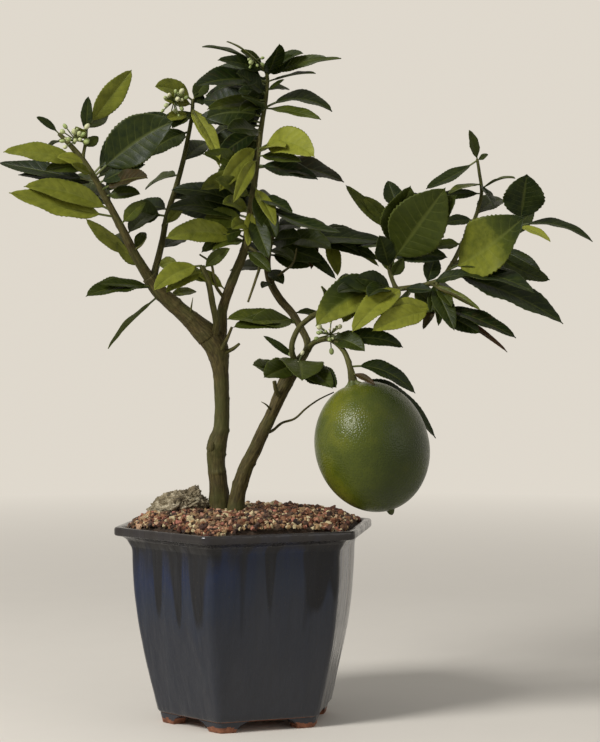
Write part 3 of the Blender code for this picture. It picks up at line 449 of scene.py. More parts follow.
# Thorns, spurs and bare twigs: waypoints (x, y, z) from the bark outwards, radii of the foot and the tip
SPURS = {
    "spur_trunk_left_1": (((-15, 3, 198), (-11, -4, 204), (-7, -7, 213)), 1.5, 0.7),
    "spur_trunk_left_2": (((-14, 3, 198), (-7, -2, 201), (-3, -4, 204)), 1.4, 0.7),
    "thorn_limb_left": (((-30, 0, 218), (-29, -5, 224), (-28, -8, 229)), 0.8, 0.15),
    "thorn_trunk_right": (((15, -8, 167), (12, -13, 171), (9, -15, 173)), 0.8, 0.15),
    "stub_trunk_right": (((19, -8, 175), (17, -13, 179), (16, -15, 184)), 1.3, 1.1),
    "twig_trunk_right": (((10, -7, 155), (15, -5, 157), (20, -4, 161), (27, -6, 163.5), (33, -8, 169),
        (40, -10, 174), (48, -12, 178)), 0.9, 0.35),
    "twig_branch_right": (((100, -4, 237), (106, -12, 233), (113, -18, 230), (122, -20, 224)), 0.8, 0.4),
    "twig_leader": (((14, 24, 238), (20, 16, 243), (26, 8, 248), (28, 4, 256)), 0.9, 0.4),
    "twig_top": (((11, 8, 353), (5, 4, 358), (-2, 0, 363)), 0.7, 0.3),
    "thorn_branch_left": (((-60, -11, 254), (-55, -16, 257), (-52, -18, 261)), 0.7, 0.15),
    "twig_hanging": (((0, -2, 257), (6, -4, 253.5), (8.2, -6, 247), (5.5, -8, 237.5),
        (1.8, -10, 226.5)), 1.1, 0.6),
    "twig_limb_centre": (((-11, 1, 228), (-16, -6, 236), (-18, -10, 247), (-24, -14, 252)), 1, 0.5),
}

# Clusters of flower buds: middle (x, y, z), spread, number of buds
BUDS = {
    "buds_left": ((-89, -24, 312), 8, 22),
    "buds_left_inner": ((-40, 23, 338), 9, 22),
    "buds_top": ((5, 2, 358), 4.5, 8),
    "buds_fork": ((29, -8, 194), 4, 7),
    "buds_right": ((46, -13, 209), 9, 20),
}


# ---------------------------------------------------------------- meshes

def unit(v):
    """Vectors of length one."""
    return v / np.maximum(np.linalg.norm(v, axis=-1, keepdims=True), 1e-9)


def smooth_step(x):
    """0 to 1 with flat ends, for x from 0 to 1."""
    x = np.clip(x, 0, 1)
    return x * x * (3 - 2 * x)


def bell(x, width):
    """1 where x is 0, fading to 0 over about twice the width."""
    return np.exp(-(x / width) ** 2)


def noise_of(points, scale, shift=0.0):
    """Perlin noise at each point."""
    moved = points * scale + shift
    return np.array([noise.noise(Vector(p)) for p in moved.reshape(-1, 3)]).reshape(points.shape[:-1])


def turns_of(count):
    """Angles at even steps round a circle."""
    return np.arange(count) * math.tau / count


def rings_of(turns, radius, height):
    """Rings of points round the z axis; radius and height are given by ring, or by ring and turn."""
    parts = np.broadcast_arrays(np.cos(turns) * radius, np.sin(turns) * radius, height)
    return np.stack(parts, axis=-1)


def stacked_rings(turns, levels, base):
    """Rings given by (radius, height above the base)."""
    radii, heights = np.array(levels).T
    return rings_of(turns, radii[:, None], heights[:, None] + base)


def grid(rows, columns, looped=False):
    """Quads between rings of points that follow each other; looped joins the last ring to the first."""
    row = np.arange(rows if looped else rows - 1)[:, None]
    column = np.arange(columns)
    here, there = row * columns, (row + 1) % rows * columns
    beyond = (column + 1) % columns
    return np.stack([here + column, here + beyond, there + beyond, there + column], -1).reshape(-1, 4)


class Skin:
    """Points and faces gathered for one mesh."""

    def __init__(self):
        self.points, self.faces, self.slots, self.values, self.count = [], [], [], {}, 0

    def add(self, points, faces, slot=0, **values):
        """Add a shell; values are numbers or vectors, one for each of its points or one for all."""
        points = np.asarray(points, float).reshape(-1, 3)
        self.faces += [[int(i) + self.count for i in face] for face in faces]
        self.slots += [slot] * len(faces) if np.isscalar(slot) else list(slot)
        self.points.append(points)
        for name, value in values.items():
            value = np.asarray(value, float)
            shape = (len(points),) + value.shape[1:]
            self.values.setdefault(name, []).append(np.broadcast_to(value, shape))
        self.count += len(points)

    def add_rings(self, rings, slot=0, **values):
        """Add a tube given ring by ring, with both ends closed."""
        rows, columns = rings.shape[:2]
        first, last = list(range(columns))[::-1], list(range((rows - 1) * columns, rows * columns))
        self.add(rings, grid(rows, columns).tolist() + [first, last], slot, **values)

    def build(self, name, finishes, replaced=(), smooth=True, material_slot=None):
        """Make the object, let it ride with the part and stand for the nodes that it replaces."""
        mesh = bpy.data.meshes.new(name)
        mesh.from_pydata((np.concatenate(self.points) * MM + ORIGIN).tolist(), [], self.faces)
        for value_name, parts in self.values.items():
            value = np.concatenate(parts).astype(np.float32)
            if value_name == "uv":
                corners = np.empty(len(mesh.loops), np.int32)
                mesh.loops.foreach_get("vertex_index", corners)
                mesh.uv_layers.new(name="UVMap").data.foreach_set("uv", value[corners].ravel())
            else:
                kind, field = ("FLOAT_VECTOR", "vector") if value.ndim == 2 else ("FLOAT", "value")
                mesh.attributes.new(value_name, kind, "POINT").data.foreach_set(field, value.ravel())
        for finish in finishes:
            mesh.materials.append(finish)
        mesh.polygons.foreach_set("material_index", np.array(self.slots, np.int32))
        mesh.polygons.foreach_set("use_smooth", np.full(len(mesh.polygons), smooth))
        mesh.update()
        made = bpy.data.objects.new(name, mesh)
        bpy.context.scene.collection.objects.link(made)
        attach(made, "root")
        if replaced:
            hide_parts(*replaced)
        return made


# ---------------------------------------------------------------- materials

def rgba(colour):
    """A colour for a socket: a socket as it is, or three numbers made opaque."""
    return colour if isinstance(colour, bpy.types.NodeSocket) else (*colour, 1)


class Nodes:
    """The node tree of a material or a world, with short ways to add to it."""

    def __init__(self, owner):
        owner.use_nodes = True
        self.tree = owner.node_tree

    def fill(self, made, inputs):
        """Give inputs, by name or number, a value or a socket to link."""
        for key, value in inputs.items():
            if isinstance(value, bpy.types.NodeSocket):
                self.tree.links.new(value, made.inputs[key])
            else:
                made.inputs[key].default_value = value

    def add(self, kind, inputs=None, **settings):
        """A new shader node."""
        made = self.tree.nodes.new("ShaderNode" + kind)
        for key, value in settings.items():
            setattr(made, key, value)
        self.fill(made, inputs or {})
        return made

    def calc(self, operation, a, b=0.0):
        """The result of a Math node."""
        return self.add("Math", {0: a, 1: b}, operation=operation).outputs[0]


class Finish(Nodes):
    """A Principled material."""

    def __init__(self, name, **settings):
        self.material = bpy.data.materials.new(name)
        super().__init__(self.material)
        self.shader = self.tree.nodes["Principled BSDF"]
        self.place = self.add("TexCoord").outputs["Object"]
        self.set(**settings)

    def set(self, **settings):
        """Give the shader's inputs a value or a socket."""
        self.fill(self.shader, {key.replace("_", " "): value for key, value in settings.items()})

    def attribute(self, name, output="Fac"):
        """A value that the mesh carries."""
        return self.add("Attribute", attribute_name=name).outputs[output]

    def total(self, *terms):
        """The sum of sockets, or of (socket, weight) pairs."""
        parts = [self.calc("MULTIPLY", *term) if isinstance(term, tuple) else term for term in terms]
        result = parts[0]
        for part in parts[1:]:
            result = self.calc("ADD", result, part)
        return result

    def mapped(self, value, low, high, to_low=0.0, to_high=1.0):
        """A value taken from one range to another, and kept inside it."""
        inputs = {"Value": value, "From Min": low, "From Max": high, "To Min": to_low, "To Max": to_high}
        return self.add("MapRange", inputs).outputs["Result"]

    def ramp(self, value, stops):
        """A colour ramp through (place, colour) stops."""
        made = self.add("ValToRGB", {"Fac": value})
        line = made.color_ramp
        for i, (place, colour) in enumerate(stops):
            stop = line.elements[i] if i < 2 else line.elements.new(place)
            stop.position = place
            stop.color = rgba(colour)
        return made.outputs["Color"]

    def paint(self, colour, *layers):
        """Set the base colour: a colour with (share, colour) layers over it."""
        for share, over in layers:
            inputs = {0: share, 6: rgba(colour), 7: rgba(over)}
            colour = self.add("Mix", inputs, data_type="RGBA").outputs[2]
        self.set(Base_Color=colour)

    def placed(self, kind, output, place, **inputs):
        """An output of a node at a place, or else at the mesh's own coordinates."""
        inputs["Vector"] = self.place if place is None else place
        return self.add(kind, inputs).outputs[output]

    def stretched(self, scale, shift=(0, 0, 0), place=None):
        """Coordinates scaled differently along each axis, and moved."""
        return self.placed("Mapping", "Vector", place, Location=shift, Scale=scale)

    def spots(self, scale, detail, roughness=0.55, place=None):
        """Noise from 0 to 1."""
        return self.placed("TexNoise", "Fac", place, Scale=scale, Detail=detail, Roughness=roughness)

    def cells(self, scale, randomness=1.0, place=None):
        """Distance to the nearest of scattered points."""
        return self.placed("TexVoronoi", "Distance", place, Scale=scale, Randomness=randomness)

    def bump(self, height, distance, strength):
        """Roughen the surface; the distance is the height in metres at full scale."""
        inputs = {"Height": height, "Distance": distance, "Strength": strength}
        normal = self.add("Bump", inputs).outputs["Normal"]
        self.set(Normal=normal)
        return normal


def mottled_finish(name, roughness, mottle, dark, light, grain, bump):
    """A matt finish in two colours; mottle and grain are the scale and detail of its noise."""
    made = Finish(name, Roughness=roughness)
    made.paint(made.ramp(made.spots(*mottle), ((0.3, dark), (0.7, light))))
    made.bump(made.spots(*grain), *bump)
    return made.material


def stalk_finish():
    """Leaf stalks, young twigs and thorns: smooth green."""
    return mottled_finish("leaf_stalk", 0.5, (180, 3), (0.05, 0.07, 0.012), (0.12, 0.13, 0.03),
                          (1200, 2), (0.0002, 0.5))


def clay_finish():
    """The bare fired clay of the feet and the underside."""
    return mottled_finish("pot_clay", 0.85, (300, 5), (0.11, 0.035, 0.016), (0.27, 0.105, 0.05),
                          (900, 4), (0.0006, 0.8))


def soil_finish():
    """Dark crumbly soil."""
    return mottled_finish("soil_crumbs", 0.95, (350, 6), (0.012, 0.007, 0.004), (0.06, 0.035, 0.018),
                          (500, 5), (0.0015, 1.0))


def leaf_finish(name, tones, vein_share, roughness):
    """One side of a leaf: colour by tone, which is partly painted light and shade, pale midrib and side
    veins, mottling, and raised veins.
    """
    made = Finish(name, Specular_IOR_Level=0.13)
    along, side, _ = made.add("SeparateXYZ", {0: made.add("UVMap", uv_map="UVMap").outputs[0]}).outputs
    off_axis = made.calc("ABSOLUTE", made.calc("SUBTRACT", made.calc("MULTIPLY", side, 2.0), 1.0))
    tone = made.total(made.attribute("tone"), made.mapped(made.spots(260, 3), 0.3, 0.7, -0.09, 0.09))
    base = made.ramp(made.mapped(tone, -1, 1), [(i / 4, colour) for i, colour in enumerate(tones)])
    midrib = made.mapped(off_axis, 0.03, 0.1, 1.0, 0.0)
    slanted = made.calc("SUBTRACT", along, made.calc("MULTIPLY", off_axis, VEIN_SLANT))
    wave = made.calc("PINGPONG", made.calc("MULTIPLY", slanted, VEIN_PAIRS), 0.5)
    side_vein = made.calc("MULTIPLY", made.mapped(wave, 0.0, 0.09, 1.0, 0.0),
                          made.mapped(off_axis, 0.2, 0.95, 0.75, 0.1))
    veins = made.calc("MAXIMUM", midrib, side_vein)
    margin = made.mapped(off_axis, 0.93, 1.0, 0.0, 0.35)
    made.paint(base, (made.calc("MULTIPLY", veins, vein_share), VEIN_COLOUR), (margin, VEIN_COLOUR))
    made.set(Roughness=made.mapped(made.spots(500, 2), 0.3, 0.7, roughness - 0.06, roughness + 0.08))
    made.bump(made.total((veins, -0.6), (made.spots(1500, 2), 0.35)), 0.0003, 0.7)
    return made.material


def bark_finish():
    """Bark: olive brown, streaked along the wood, with pale lenticels; green where it is young."""
    made = Finish("bark", Specular_IOR_Level=0.25)
    grain = made.attribute("grain", "Vector")
    streak = made.spots(1.0, 6, 0.65, made.stretched((1.1, 1.1, 0.16), place=grain))
    old = made.ramp(streak, ((0.3, (0.018, 0.013, 0.004)), (0.5, (0.053, 0.04, 0.01)),
                             (0.72, (0.12, 0.092, 0.027))))
    mossy = made.mapped(made.spots(60, 4), 0.46, 0.64, 0.0, 0.65)
    green = made.ramp(streak, ((0.3, (0.03, 0.03, 0.006)), (0.55, (0.075, 0.077, 0.016)),
                               (0.72, (0.14, 0.13, 0.035))))
    lenticel = made.cells(1.0, place=made.stretched((0.55, 0.55, 0.9), place=grain))
    made.paint(old, (mossy, (0.052, 0.056, 0.011)), (made.attribute("young"), green),
               (made.mapped(lenticel, 0.08, 0.18, 0.4, 0.0), (0.15, 0.11, 0.05)))
    made.set(Roughness=made.mapped(streak, 0.3, 0.7, 0.85, 0.6))
    fine = made.spots(1.0, 5, 0.7, made.stretched((2.6, 2.6, 0.8), place=grain))
    made.bump(made.total((streak, 0.6), (fine, 0.4)), 0.0007, 0.6)
    return made.material


def glaze_finish():
    """Blue stoneware glaze: slate low on the wall, dark blue above, with black runs and a brown rim."""
    made = Finish("pot_glaze", Coat_Weight=0.45, Coat_Roughness=0.06, Specular_IOR_Level=0.12)
    across, _, up = made.add("SeparateXYZ", {0: made.place}).outputs
    height = made.mapped(up, 0.0, POT_RIM_TOP * MM)
    runs = made.spots(1.0, 3, 0.5, made.stretched((95, 95, 9)))
    fine_runs = made.spots(1.0, 3, 0.55, made.stretched((210, 210, 16)))
    # The blue reaches less far down on the right
    level = made.total(height, made.mapped(runs, 0.3, 0.7, -0.12, 0.12),
                       made.mapped(across, -0.05, -0.02, 0.0, -0.16))
    body = made.ramp(level, ((0.05, (0.028, 0.03, 0.037)), (0.45, (0.017, 0.02, 0.029)),
                             (0.62, (0.009, 0.015, 0.031)), (0.76, (0.003, 0.01, 0.037)),
                             (0.9, (0.003, 0.005, 0.014))))
    # Black runs that narrow downwards, and none low on the wall
    drips = made.total(made.spots(1.0, 1, 0.4, made.stretched((90, 90, 3), DRIP_SHIFT)),
                       made.mapped(height, 0.35, 0.95, -0.2, 0.07),
                       made.mapped(height, 0.2, 0.4, -0.4, 0.0))
    made.paint(body, (made.mapped(drips, 0.48, 0.53, 0.0, 0.95), (0.001, 0.0014, 0.0032)),
               (made.mapped(fine_runs, 0.5, 0.75, 0.0, 0.3), (0.024, 0.029, 0.038)),
               (made.mapped(height, 0.9, 0.97, 0.0, 0.75), (0.026, 0.022, 0.02)),
               (made.mapped(made.cells(420.0), 0.06, 0.16, 0.5, 0.0), (0.04, 0.031, 0.02)))
    wave = made.total(runs, (fine_runs, 0.25), (made.spots(90, 2), 0.5))
    made.set(Roughness=made.mapped(runs, 0.3, 0.7, 0.2, 0.34), Coat_Normal=made.bump(wave, 0.0016, 0.6))
    return made.material


def granule_finish():
    """Crushed stone and burnt clay: a colour of its own for each granule, and dust on it."""
    made = Finish("granules", Roughness=0.85)
    own = made.add("NewGeometry").outputs["Random Per Island"]
    colour = made.ramp(own, ((0.0, (0.012, 0.006, 0.004)), (0.18, (0.05, 0.018, 0.01)),
                             (0.32, (0.17, 0.05, 0.02)), (0.44, (0.3, 0.14, 0.06)),
                             (0.56, (0.07, 0.04, 0.022)), (0.7, (0.42, 0.27, 0.12)),
                             (0.82, (0.45, 0.16, 0.11)), (0.9, (0.66, 0.54, 0.3))))
    dust = made.mapped(made.spots(900, 4), 0.35, 0.7, 0.0, 0.4)
    made.paint(colour, (dust, (0.05, 0.027, 0.016)))
    made.bump(made.spots(1500, 4), 0.0005, 0.8)
    return made.material


def rock_finish():
    """Weathered grey-tan stone, with painted shade darkening its crevices."""
    made = Finish("rock_stone", Roughness=0.9)
    colour = made.ramp(made.spots(170, 6, 0.7), ((0.3, (0.07, 0.052, 0.03)), (0.48, (0.24, 0.19, 0.11)),
                                                 (0.62, (0.6, 0.52, 0.36))))
    # Painted shade: the stone's hollows are darkened nearly to black
    crevice_shade = made.mapped(made.attribute("hollow"), 0.35, 0.9, 0.0, 0.92)
    stain = made.mapped(made.spots(60, 3), 0.5, 0.68, 0.0, 0.35)
    made.paint(colour, (crevice_shade, (0.016, 0.011, 0.007)), (stain, (0.12, 0.1, 0.04)))
    made.bump(made.spots(420, 6, 0.7), 0.002, 1.0)
    return made.material


def lemon_finish():
    """Green lemon skin: dimpled by oil glands, flecked, and darkened towards the right by painted shade."""
    made = Finish("lemon_rind", Coat_Weight=0.12, Coat_Roughness=0.2, Specular_IOR_Level=0.2)
    tint = made.spots(38, 3)
    colour = made.ramp(tint, ((0.3, (0.03, 0.043, 0.003)), (0.52, (0.066, 0.082, 0.005)),
                              (0.72, (0.14, 0.145, 0.01))))
    pit = made.mapped(made.cells(850.0, 0.8), 0.1, 0.6, 1.0, 0.0)
    fleck = made.mapped(made.spots(1200, 2), 0.6, 0.75, 0.0, 0.3)
    across = made.add("SeparateXYZ", {0: made.add("TexCoord").outputs["Generated"]}).outputs[0]
    # Painted shade: the rind's colour is darkened towards its right side
    painted_shade = made.mapped(made.total(across, (tint, 0.2)), 0.42, 0.74, 0.0, 0.68)
    made.paint(colour, (made.calc("MULTIPLY", pit, 0.25), (0.016, 0.03, 0.002)),
               (fleck, (0.13, 0.16, 0.025)), (painted_shade, (0.008, 0.016, 0.001)))
    made.set(Roughness=made.mapped(made.spots(300, 3), 0.3, 0.7, 0.27, 0.4),
             Coat_Normal=made.bump(made.total((pit, -0.8), (tint, 0.3)), 0.00022, 0.7))
    return made.material


def bud_finish():
    """Flower buds: waxy, cream to pale green."""
    made = Finish("flower_bud", Roughness=0.45)
    own = made.add("NewGeometry").outputs["Random Per Island"]
    shade = made.total((own, 0.7), (made.spots(700, 2), 0.3))
    made.paint(made.ramp(shade, ((0.1, (0.12, 0.17, 0.03)), (0.45, (0.3, 0.36, 0.12)),
                                 (0.85, (0.6, 0.58, 0.36)))))
    made.bump(made.spots(1600, 2), 0.0002, 0.5)
    return made.material


# ---------------------------------------------------------------- pot and filling

def corner_directions():
    """The six corner directions of the pot in plan, as unit vectors."""
    half = (-90, -30 - POT_WIDE, 30 + POT_WIDE)
    angles = [math.radians(a + POT_TURN) for a in half]
    angles += [a + math.pi for a in angles]
    return [Vector((math.sin(a), -math.cos(a), 0)) for a in angles]


def hexagon(radius, z):
    """A ring of the pot's plan with rounded corners and points along its sides."""
    corners = [d * radius for d in corner_directions()]
    ring = []
    for i, corner in enumerate(corners):
        following = corners[(i + 1) % 6]
        back = (corners[i - 1] - corner).normalized()
        ahead = (following - corner).normalized()
        half = back.angle(ahead) / 2
        cut = POT_CORNER / math.tan(half)
        centre = corner + (back + ahead).normalized() * POT_CORNER / math.sin(half)
        start = (corner + back * cut - centre).normalized()
        end = (corner + ahead * cut - centre).normalized()
        ring += [centre + start.slerp(end, k / CORNER_STEPS) * POT_CORNER for k in range(CORNER_STEPS + 1)]
        first, last = corner + ahead * cut, following - ahead * cut
        ring += [first.lerp(last, k / SIDE_STEPS) for k in range(1, SIDE_STEPS)]
    return np.array([(p.x, p.y, z) for p in ring])


def wall_radius(z):
    """Corner radius of the pot's outside below the rim."""
    rise = (z - POT_BASE) / (POT_BODY_TOP - POT_BASE)
    return POT_BASE_RADIUS + (POT_BODY_RADIUS - POT_BASE_RADIUS) * math.sin(rise * math.pi / 2)


def inner_radius(z):
    """Corner radius of the pot's inside, which opens out under the rim."""
    flare = max(0.0, (z - POT_BODY_TOP + 4) / (POT_RIM_TOP - POT_BODY_TOP + 4))
    spread = POT_RIM_RADIUS - POT_BODY_RADIUS - (POT_LIP - POT_WALL) * SIDE_TO_CORNER
    inside = wall_radius(min(z, POT_BODY_TOP)) - POT_WALL * SIDE_TO_CORNER
    return inside + spread * math.sin(flare * math.pi / 2)


def pot_profile():
    """(corner radius, height) from the underside's edge up the outside, over the rim and down inside."""
    profile = [(POT_BASE_RADIUS - EDGE_ROUND, POT_BASE),
               (POT_BASE_RADIUS - EDGE_ROUND * 0.3, POT_BASE + EDGE_ROUND * 0.3)]
    profile += [(wall_radius(z), z) for z in np.linspace(POT_BASE + EDGE_ROUND, POT_BODY_TOP, 30)]
    swing = np.radians(np.arange(10, 91, 10))
    cove_width = POT_RIM_RADIUS - RIM_ROUND - POT_BODY_RADIUS
    cove_height = POT_RIM_TOP - POT_LIP - POT_BODY_TOP
    profile += zip(POT_BODY_RADIUS + cove_width * (1 - np.cos(swing)),
                   POT_BODY_TOP + cove_height * np.sin(swing))
    swing = np.radians((30, 60, 90))
    profile += zip(POT_RIM_RADIUS - RIM_ROUND * (1 - np.sin(swing)),
                   POT_RIM_TOP - POT_LIP + RIM_ROUND * (1 - np.cos(swing)))
    swing = np.radians((0, 30, 60, 90))
    profile += zip(POT_RIM_RADIUS - RIM_ROUND * (1 - np.cos(swing)),
                   POT_RIM_TOP - RIM_ROUND * (1 - np.sin(swing)))
    profile += [(POT_RIM_RADIUS - POT_LIP + 0.8, POT_RIM_TOP),
                (POT_RIM_RADIUS - POT_LIP, POT_RIM_TOP - 0.4)]
    profile += [(inner_radius(z), z) for z in INNER_STATIONS]
    return profile + [(inner_radius(POT_FLOOR) - 2.5, POT_FLOOR)]


def foot_shell(direction, before, after):
    """A bracket foot under one corner: its points, its faces, and 0 for each glazed face, 1 for clay."""
    rings = []
    heights, shrinks, arms = zip(*FOOT_LEVELS)
    for z in FOOT_STATIONS:
        shrink = np.interp(z, heights, shrinks) + 0.5 * max(0, 1 - z / 0.8) ** 2
        arm = np.interp(z, heights, arms)
        radius = POT_BASE_RADIUS - EDGE_ROUND - shrink
        corner = direction * radius
        back = (before * radius - corner).normalized()
        ahead = (after * radius - corner).normalized()
        inward = (back + ahead).normalized() * FOOT_DEPTH
        reaches = np.linspace(FOOT_CHAMFER, arm, 5)
        plan = [back * FOOT_CHAMFER, (back + ahead) * 0.4]
        plan += [ahead * reach for reach in reaches]
        plan += [ahead * (arm - FOOT_SPLAY) + inward, inward * 1.1, back * (arm - FOOT_SPLAY) + inward]
        plan += [back * reach for reach in reaches[:0:-1]]
        rings.append([(corner.x + p.x, corner.y + p.y, z) for p in plan])
    rings = np.array(rings)
    columns = rings.shape[1]
    faces = grid(len(rings), columns)
    middles = rings.reshape(-1, 3)[faces].mean(axis=1)
    clay = middles[:, 2] + noise_of(middles, 0.25, 8.0) * 1.6 <= GLAZE_LINE
    return rings, faces.tolist() + [list(range(columns))[::-1]], [*clay.astype(int), 1]


def make_pot(glaze, clay):
    """The glazed pot on its bare feet."""
    skin = Skin()
    rings = np.array([hexagon(radius, z) for radius, z in pot_profile()])
    unevenness = noise_of(rings, 0.045) * 0.3 + noise_of(rings, 0.16, 5.0) * 0.08
    inside = rings[..., 2] > POT_RIM_TOP - 0.1
    rings += unit(rings * (1, 1, 0)) * np.where(inside, 0, np.minimum(unevenness - 0.25, 0))[..., None]
    drain = unit(rings[0] * (1, 1, 0)) * DRAIN_RADIUS
    rings = np.concatenate([[drain + (0, 0, POT_BASE)], rings, [drain + (0, 0, POT_FLOOR)]])
    rows, columns = rings.shape[:2]
    # Only the underside and the drain's wall, which the last ring and the first bound, are bare clay
    bare = np.repeat(np.isin(np.arange(rows), (0, 1, rows - 1)), columns)
    skin.add(rings, grid(rows, columns, looped=True), bare.astype(int))
    corners = corner_directions()
    for i, direction in enumerate(corners):
        skin.add(*foot_shell(direction, corners[i - 1], corners[(i + 1) % 6]))
    pot = skin.build("pot_glazed", [glaze, clay], ["pot"], material_slot="glazed_stoneware")
    pot.data.set_sharp_from_angle(angle=math.radians(50))


def gravel_height(x, y):
    """Height of the gravel's surface."""
    reach = np.hypot(x, y) / inner_radius(GRAVEL_EDGE)
    return GRAVEL_EDGE + GRAVEL_RISE * np.maximum(0.0, 1 - reach ** GRAVEL_BULGE)


def inside_rim(x, y, margin):
    """Whether a point lies inside the pot's inner wall by a margin."""
    directions = corner_directions()
    radius = inner_radius(GRAVEL_EDGE)
    for i, corner in enumerate(directions):
        side = directions[(i + 1) % 6] - corner
        normal = Vector((side.y, -side.x, 0)).normalized()
        if normal.x * x + normal.y * y > (corner * radius).dot(normal) - margin:
            return False
    return True


def shape_of(mesh_data):
    """Points and faces of a bmesh, which is then freed."""
    mesh_data.verts.index_update()
    points = np.array([v.co for v in mesh_data.verts])
    faces = [[v.index for v in f.verts] for f in mesh_data.faces]
    mesh_data.free()
    return points, faces


def granule_shapes(rng):
    """A stock of angular granules of about unit radius: hulls of points strewn round a ball."""
    shapes = []
    for _ in range(GRANULE_SHAPES):
        mesh_data = bmesh.new()
        for point in unit(rng.normal(size=(13, 3))) * rng.uniform(0.82, 1.0, (13, 1)):
            mesh_data.verts.new(point)
        result = bmesh.ops.convex_hull(mesh_data, input=mesh_data.verts)
        loose = [v for v in result["geom_interior"] if isinstance(v, bmesh.types.BMVert)]
        bmesh.ops.delete(mesh_data, geom=loose, context="VERTS")
        shapes.append(shape_of(mesh_data))
    return shapes


def make_gravel(finish):
    """The granules strewn over the gravel bed, in two layers."""
    rng = np.random.default_rng(SEED)
    shapes = granule_shapes(rng)
    skin = Skin()
    trunks = [STEMS[name][2][1] for name in ("trunk_left", "trunk_right")]
    reach = inner_radius(GRAVEL_EDGE)
    for layer, wanted in enumerate(GRANULE_LAYERS):
        placed = 0
        while placed < wanted:
            x, y = rng.uniform(-reach, reach, 2)
            size = float(np.clip(rng.lognormal(*GRANULE_SPREAD), *GRANULE_SIZES))
            if not inside_rim(x, y, size * 0.9):
                continue
            if any(math.hypot(x - t[0], y - t[1]) < t[3] + size * 0.5 for t in trunks):
                continue
            points, faces = shapes[int(rng.integers(len(shapes)))]
            turn = np.linalg.qr(rng.normal(size=(3, 3)))[0]
            form = points * (rng.uniform(0.75, 1.2), rng.uniform(0.75, 1.2), rng.uniform(0.6, 0.9)) * size
            base = float(gravel_height(x, y)) - size * 0.25 + layer * size * rng.uniform(0.1, 0.75)
            if math.hypot(x, y) > reach * 0.8:
                base -= layer * 0.5
            skin.add(form @ turn.T + (x, y, base), faces)
            placed += 1
    skin.build("gravel_granules", [finish], smooth=False)


def make_rock(finish):
    """The craggy stone: ridges, steps and pits worked into a ball."""
    mesh_data = bmesh.new()
    bmesh.ops.create_icosphere(mesh_data, subdivisions=6, radius=1)
    ways, faces = shape_of(mesh_data)
    ways = unit(ways)
    ridges = 0.22 * noise_of(ways, 2.1, np.array((7, 3, 1))) - 0.22 * np.abs(noise_of(ways, 4.3))
    ledges = noise_of(ways, 3.4, 11.0)
    steps = np.round(ledges * 5) / 5 - ledges
    hollow = np.clip(1 - np.abs(noise_of(ways, 6.5, 3.0)) * 5.0, 0, 1) ** 1.5
    grit = noise_of(ways, 16.0, 2.0)
    points = ways * (0.97 + ridges + steps * 0.25 - hollow * 0.16 + grit * 0.04)[:, None]
    points[:, 0] += ROCK_LEAN * np.maximum(points[:, 2], 0)
    points = np.array(ROCK_CENTRE) + points * ROCK_HALF
    points[:, 2] = np.maximum(points[:, 2], gravel_height(points[:, 0], points[:, 1]) - ROCK_SUNK)
    skin = Skin()
    skin.add(points, faces, hollow=hollow)
    skin.build("rock_craggy", [finish], ["rock"], material_slot="stone")


# ---------------------------------------------------------------- fruit

def hung(points, below=0.0):
    """Points round the z axis, moved to hang along the fruit's axis from the end of its stalk."""
    turn = np.array(Vector((0, 0, 1)).rotation_difference(LEMON_AXIS).to_matrix())
    top = np.array(STEMS["fruit_stalk"][2][-1][:3]) + np.array(LEMON_AXIS) * below
    return points @ turn.T + top


def make_lemon(rind, dark):
    """The fruit with its nipple, and the dry point of the style at the tip."""
    body = LEMON_LENGTH - LEMON_NIPPLE
    swing = np.linspace(0.02, math.pi, LEMON_RINGS)
    along = body * (1 - np.cos(swing)) / 2
    radius = np.maximum(LEMON_RADIUS * np.sin(swing), NECK_RADIUS * bell(along - body, NECK_REACH))
    radius = radius * (1 - 0.02 * smooth_step((4 - along) / 4))
    along = along + STALK_DIP * bell(radius, STALK_DIP_RADIUS) * (along < body / 2)
    turns = turns_of(LEMON_SIDES)
    # Seven faint ribs that fade away from the stalk
    ribs = 1 - 0.012 * np.exp(-(along[:, None] / 9.0)) * np.cos(turns * 7)
    points = rings_of(turns, radius[:, None] * ribs, along[:, None])
    lumps = (noise_of(points, 0.05) * 0.25 - 0.2) * np.sin(swing)[:, None]
    points = points + unit(points * (1, 1, 0)) * lumps[..., None]
    skin = Skin()
    skin.add_rings(hung(np.concatenate([points[:-1], stacked_rings(turns, NIPPLE_RINGS, body)])))
    style = stacked_rings(turns[::8], STYLE_RINGS, body)
    rows, columns = style.shape[:2]
    tip = list(range((rows - 1) * columns, rows * columns))
    skin.add(hung(style), grid(rows, columns).tolist() + [tip], slot=1)
    skin.build("lemon_fruit", [rind, dark], ["lemon"], material_slot="lemon_skin")


def make_calyx(finish):
    """The star of five lobes where the stalk meets the fruit."""
    turns = turns_of(60)
    radii, heights, lobes = np.array(CALYX_RINGS).T[:, :, None]
    skin = Skin()
    skin.add_rings(hung(rings_of(turns, radii * (1 + 0.22 * np.cos(turns * 5) * lobes), heights), 0.6))
    skin.build("lemon_calyx", [finish])


# ---------------------------------------------------------------- wood

